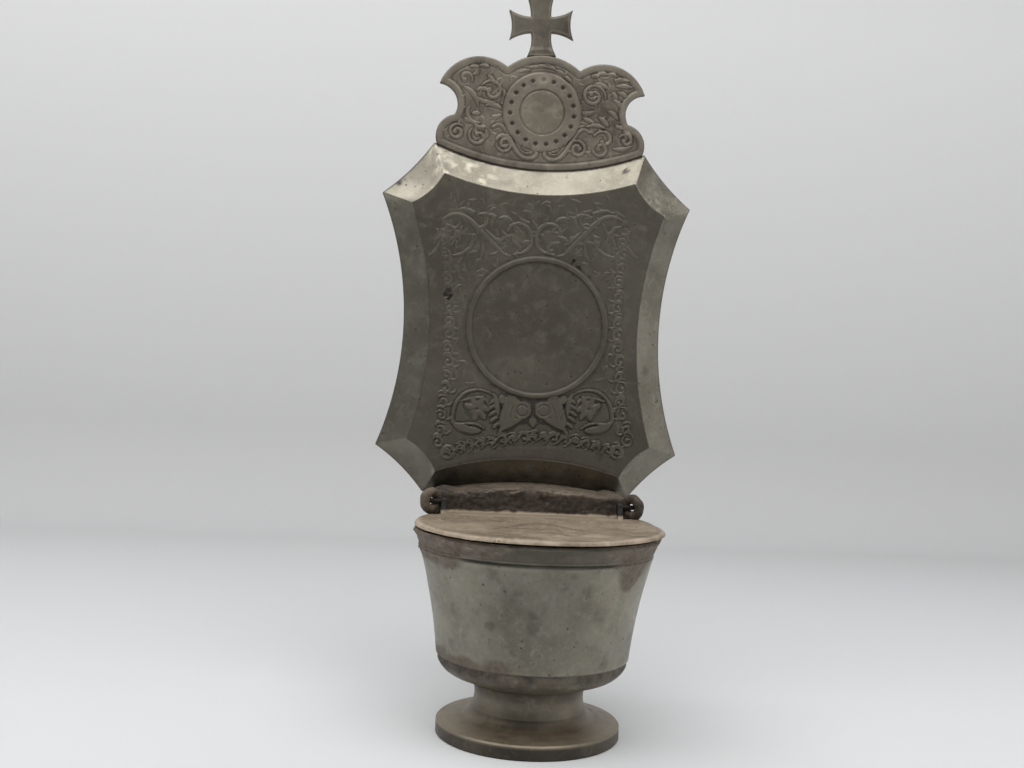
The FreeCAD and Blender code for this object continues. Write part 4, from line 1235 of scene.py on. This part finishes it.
class StoupSizes(bpy.types.PropertyGroup):
    """Sizes of the ornament and of the wear."""
    field_relief: length("Field relief", "Height of the scrolls on the back plate", 0.62)
    crest_relief: length("Crest relief", "Height of the scrolls on the crest", 0.5)
    ring_width: length("Ring width", "Width of the round wire ring on the back plate", 2.8, 4)
    ridge_wear: length("Ridge wear", "Rounding of the ridges of the back plate", 0.45)
    dents: length("Dents", "Depth of the dents in the bowl's wall", 0.2)
    crust: length("Crust", "Thickness of the crust on the bowl's rim", 0.45)
    lid_crease: length("Lid crease", "Depth of the crease in the lid", 0.55)
    hood_crackle: length("Hood crackle", "Depth of the crackle on the hood", 0.3)


class StoupFinish(bpy.types.PropertyGroup):
    """Main tone of each finish."""
    foot: colour("Foot", "Patina of the foot, stem and bowl base", (0.41, 0.38, 0.33))
    bowl: colour("Bowl", "Worn grey of the bowl", (0.54, 0.525, 0.47))
    hood: colour("Hood", "Dark patina behind the lid", (0.27, 0.23, 0.19))
    lid: colour("Lid", "Dusty tan of the lid", (0.66, 0.60, 0.52))
    plate: colour("Plate", "Rubbed metal of the plate's bevels", (0.61, 0.59, 0.54))
    field: colour("Field", "Dark patina of the plate's field", (0.37, 0.35, 0.31))
    crest: colour("Crest", "Patina of the crest and the cross", (0.515, 0.485, 0.435))


class StoupStep(bpy.types.Operator):
    """Builds one part of the stoup."""
    bl_options = {"REGISTER", "UNDO"}
    steps = ()

    def execute(self, context):
        for step in self.steps:
            step()
        return {"FINISHED"}


class STOUP_OT_foot(StoupStep):
    """Turn the foot and the stem."""
    bl_idname, bl_label, steps = "stoup.foot", "Foot and stem", (build_foot,)


class STOUP_OT_bowl(StoupStep):
    """Turn the bowl's base and its wall."""
    bl_idname, bl_label, steps = "stoup.bowl", "Bowl", (build_dish, build_wall)


class STOUP_OT_lid(StoupStep):
    """Lay the lid on the rim."""
    bl_idname, bl_label, steps = "stoup.lid", "Lid", (build_lid,)


class STOUP_OT_hood(StoupStep):
    """Cast the hood behind the lid and finish the hinge."""
    bl_idname, bl_label, steps = "stoup.hood", "Hood and hinge", (build_hood, build_hinge)


class STOUP_OT_plate(StoupStep):
    """Cast the bevelled back plate and its field."""
    bl_idname, bl_label = "stoup.plate", "Back plate"
    steps = (build_plate, build_field, build_ring)


class STOUP_OT_crest(StoupStep):
    """Cast the crest and the cross."""
    bl_idname, bl_label, steps = "stoup.crest", "Crest and cross", (build_crest, build_cross)


class STOUP_OT_stage(StoupStep):
    """Set the floor, the lights and the camera."""
    bl_idname, bl_label, steps = "stoup.stage", "Stage", (build_stage,)


OPERATORS = (STOUP_OT_foot, STOUP_OT_bowl, STOUP_OT_lid, STOUP_OT_hood, STOUP_OT_plate,
             STOUP_OT_crest, STOUP_OT_stage)


class STOUP_PT_panel(bpy.types.Panel):
    """Finishes and building steps of the stoup."""
    bl_idname, bl_label, bl_category = "STOUP_PT_panel", "Holy water stoup", "Stoup"
    bl_space_type, bl_region_type = "VIEW_3D", "UI"

    def draw(self, context):
        for group in (context.scene.stoup_sizes, context.scene.stoup_finish):
            for key in group.__annotations__:
                self.layout.prop(group, key)
        for step in OPERATORS:
            self.layout.operator(step.bl_idname)


def register():
    for item in (StoupSizes, StoupFinish, *OPERATORS, STOUP_PT_panel):
        bpy.utils.register_class(item)
    bpy.types.Scene.stoup_sizes = bpy.props.PointerProperty(type=StoupSizes)
    bpy.types.Scene.stoup_finish = bpy.props.PointerProperty(type=StoupFinish)


def unregister():
    del bpy.types.Scene.stoup_sizes, bpy.types.Scene.stoup_finish
    for item in (STOUP_PT_panel, *reversed(OPERATORS), StoupFinish, StoupSizes):
        bpy.utils.unregister_class(item)


def main():
    register()
    for step in OPERATORS:
        group, name = step.bl_idname.split(".")
        getattr(getattr(bpy.ops, group), name)()


if __name__ == "__main__":
    main()
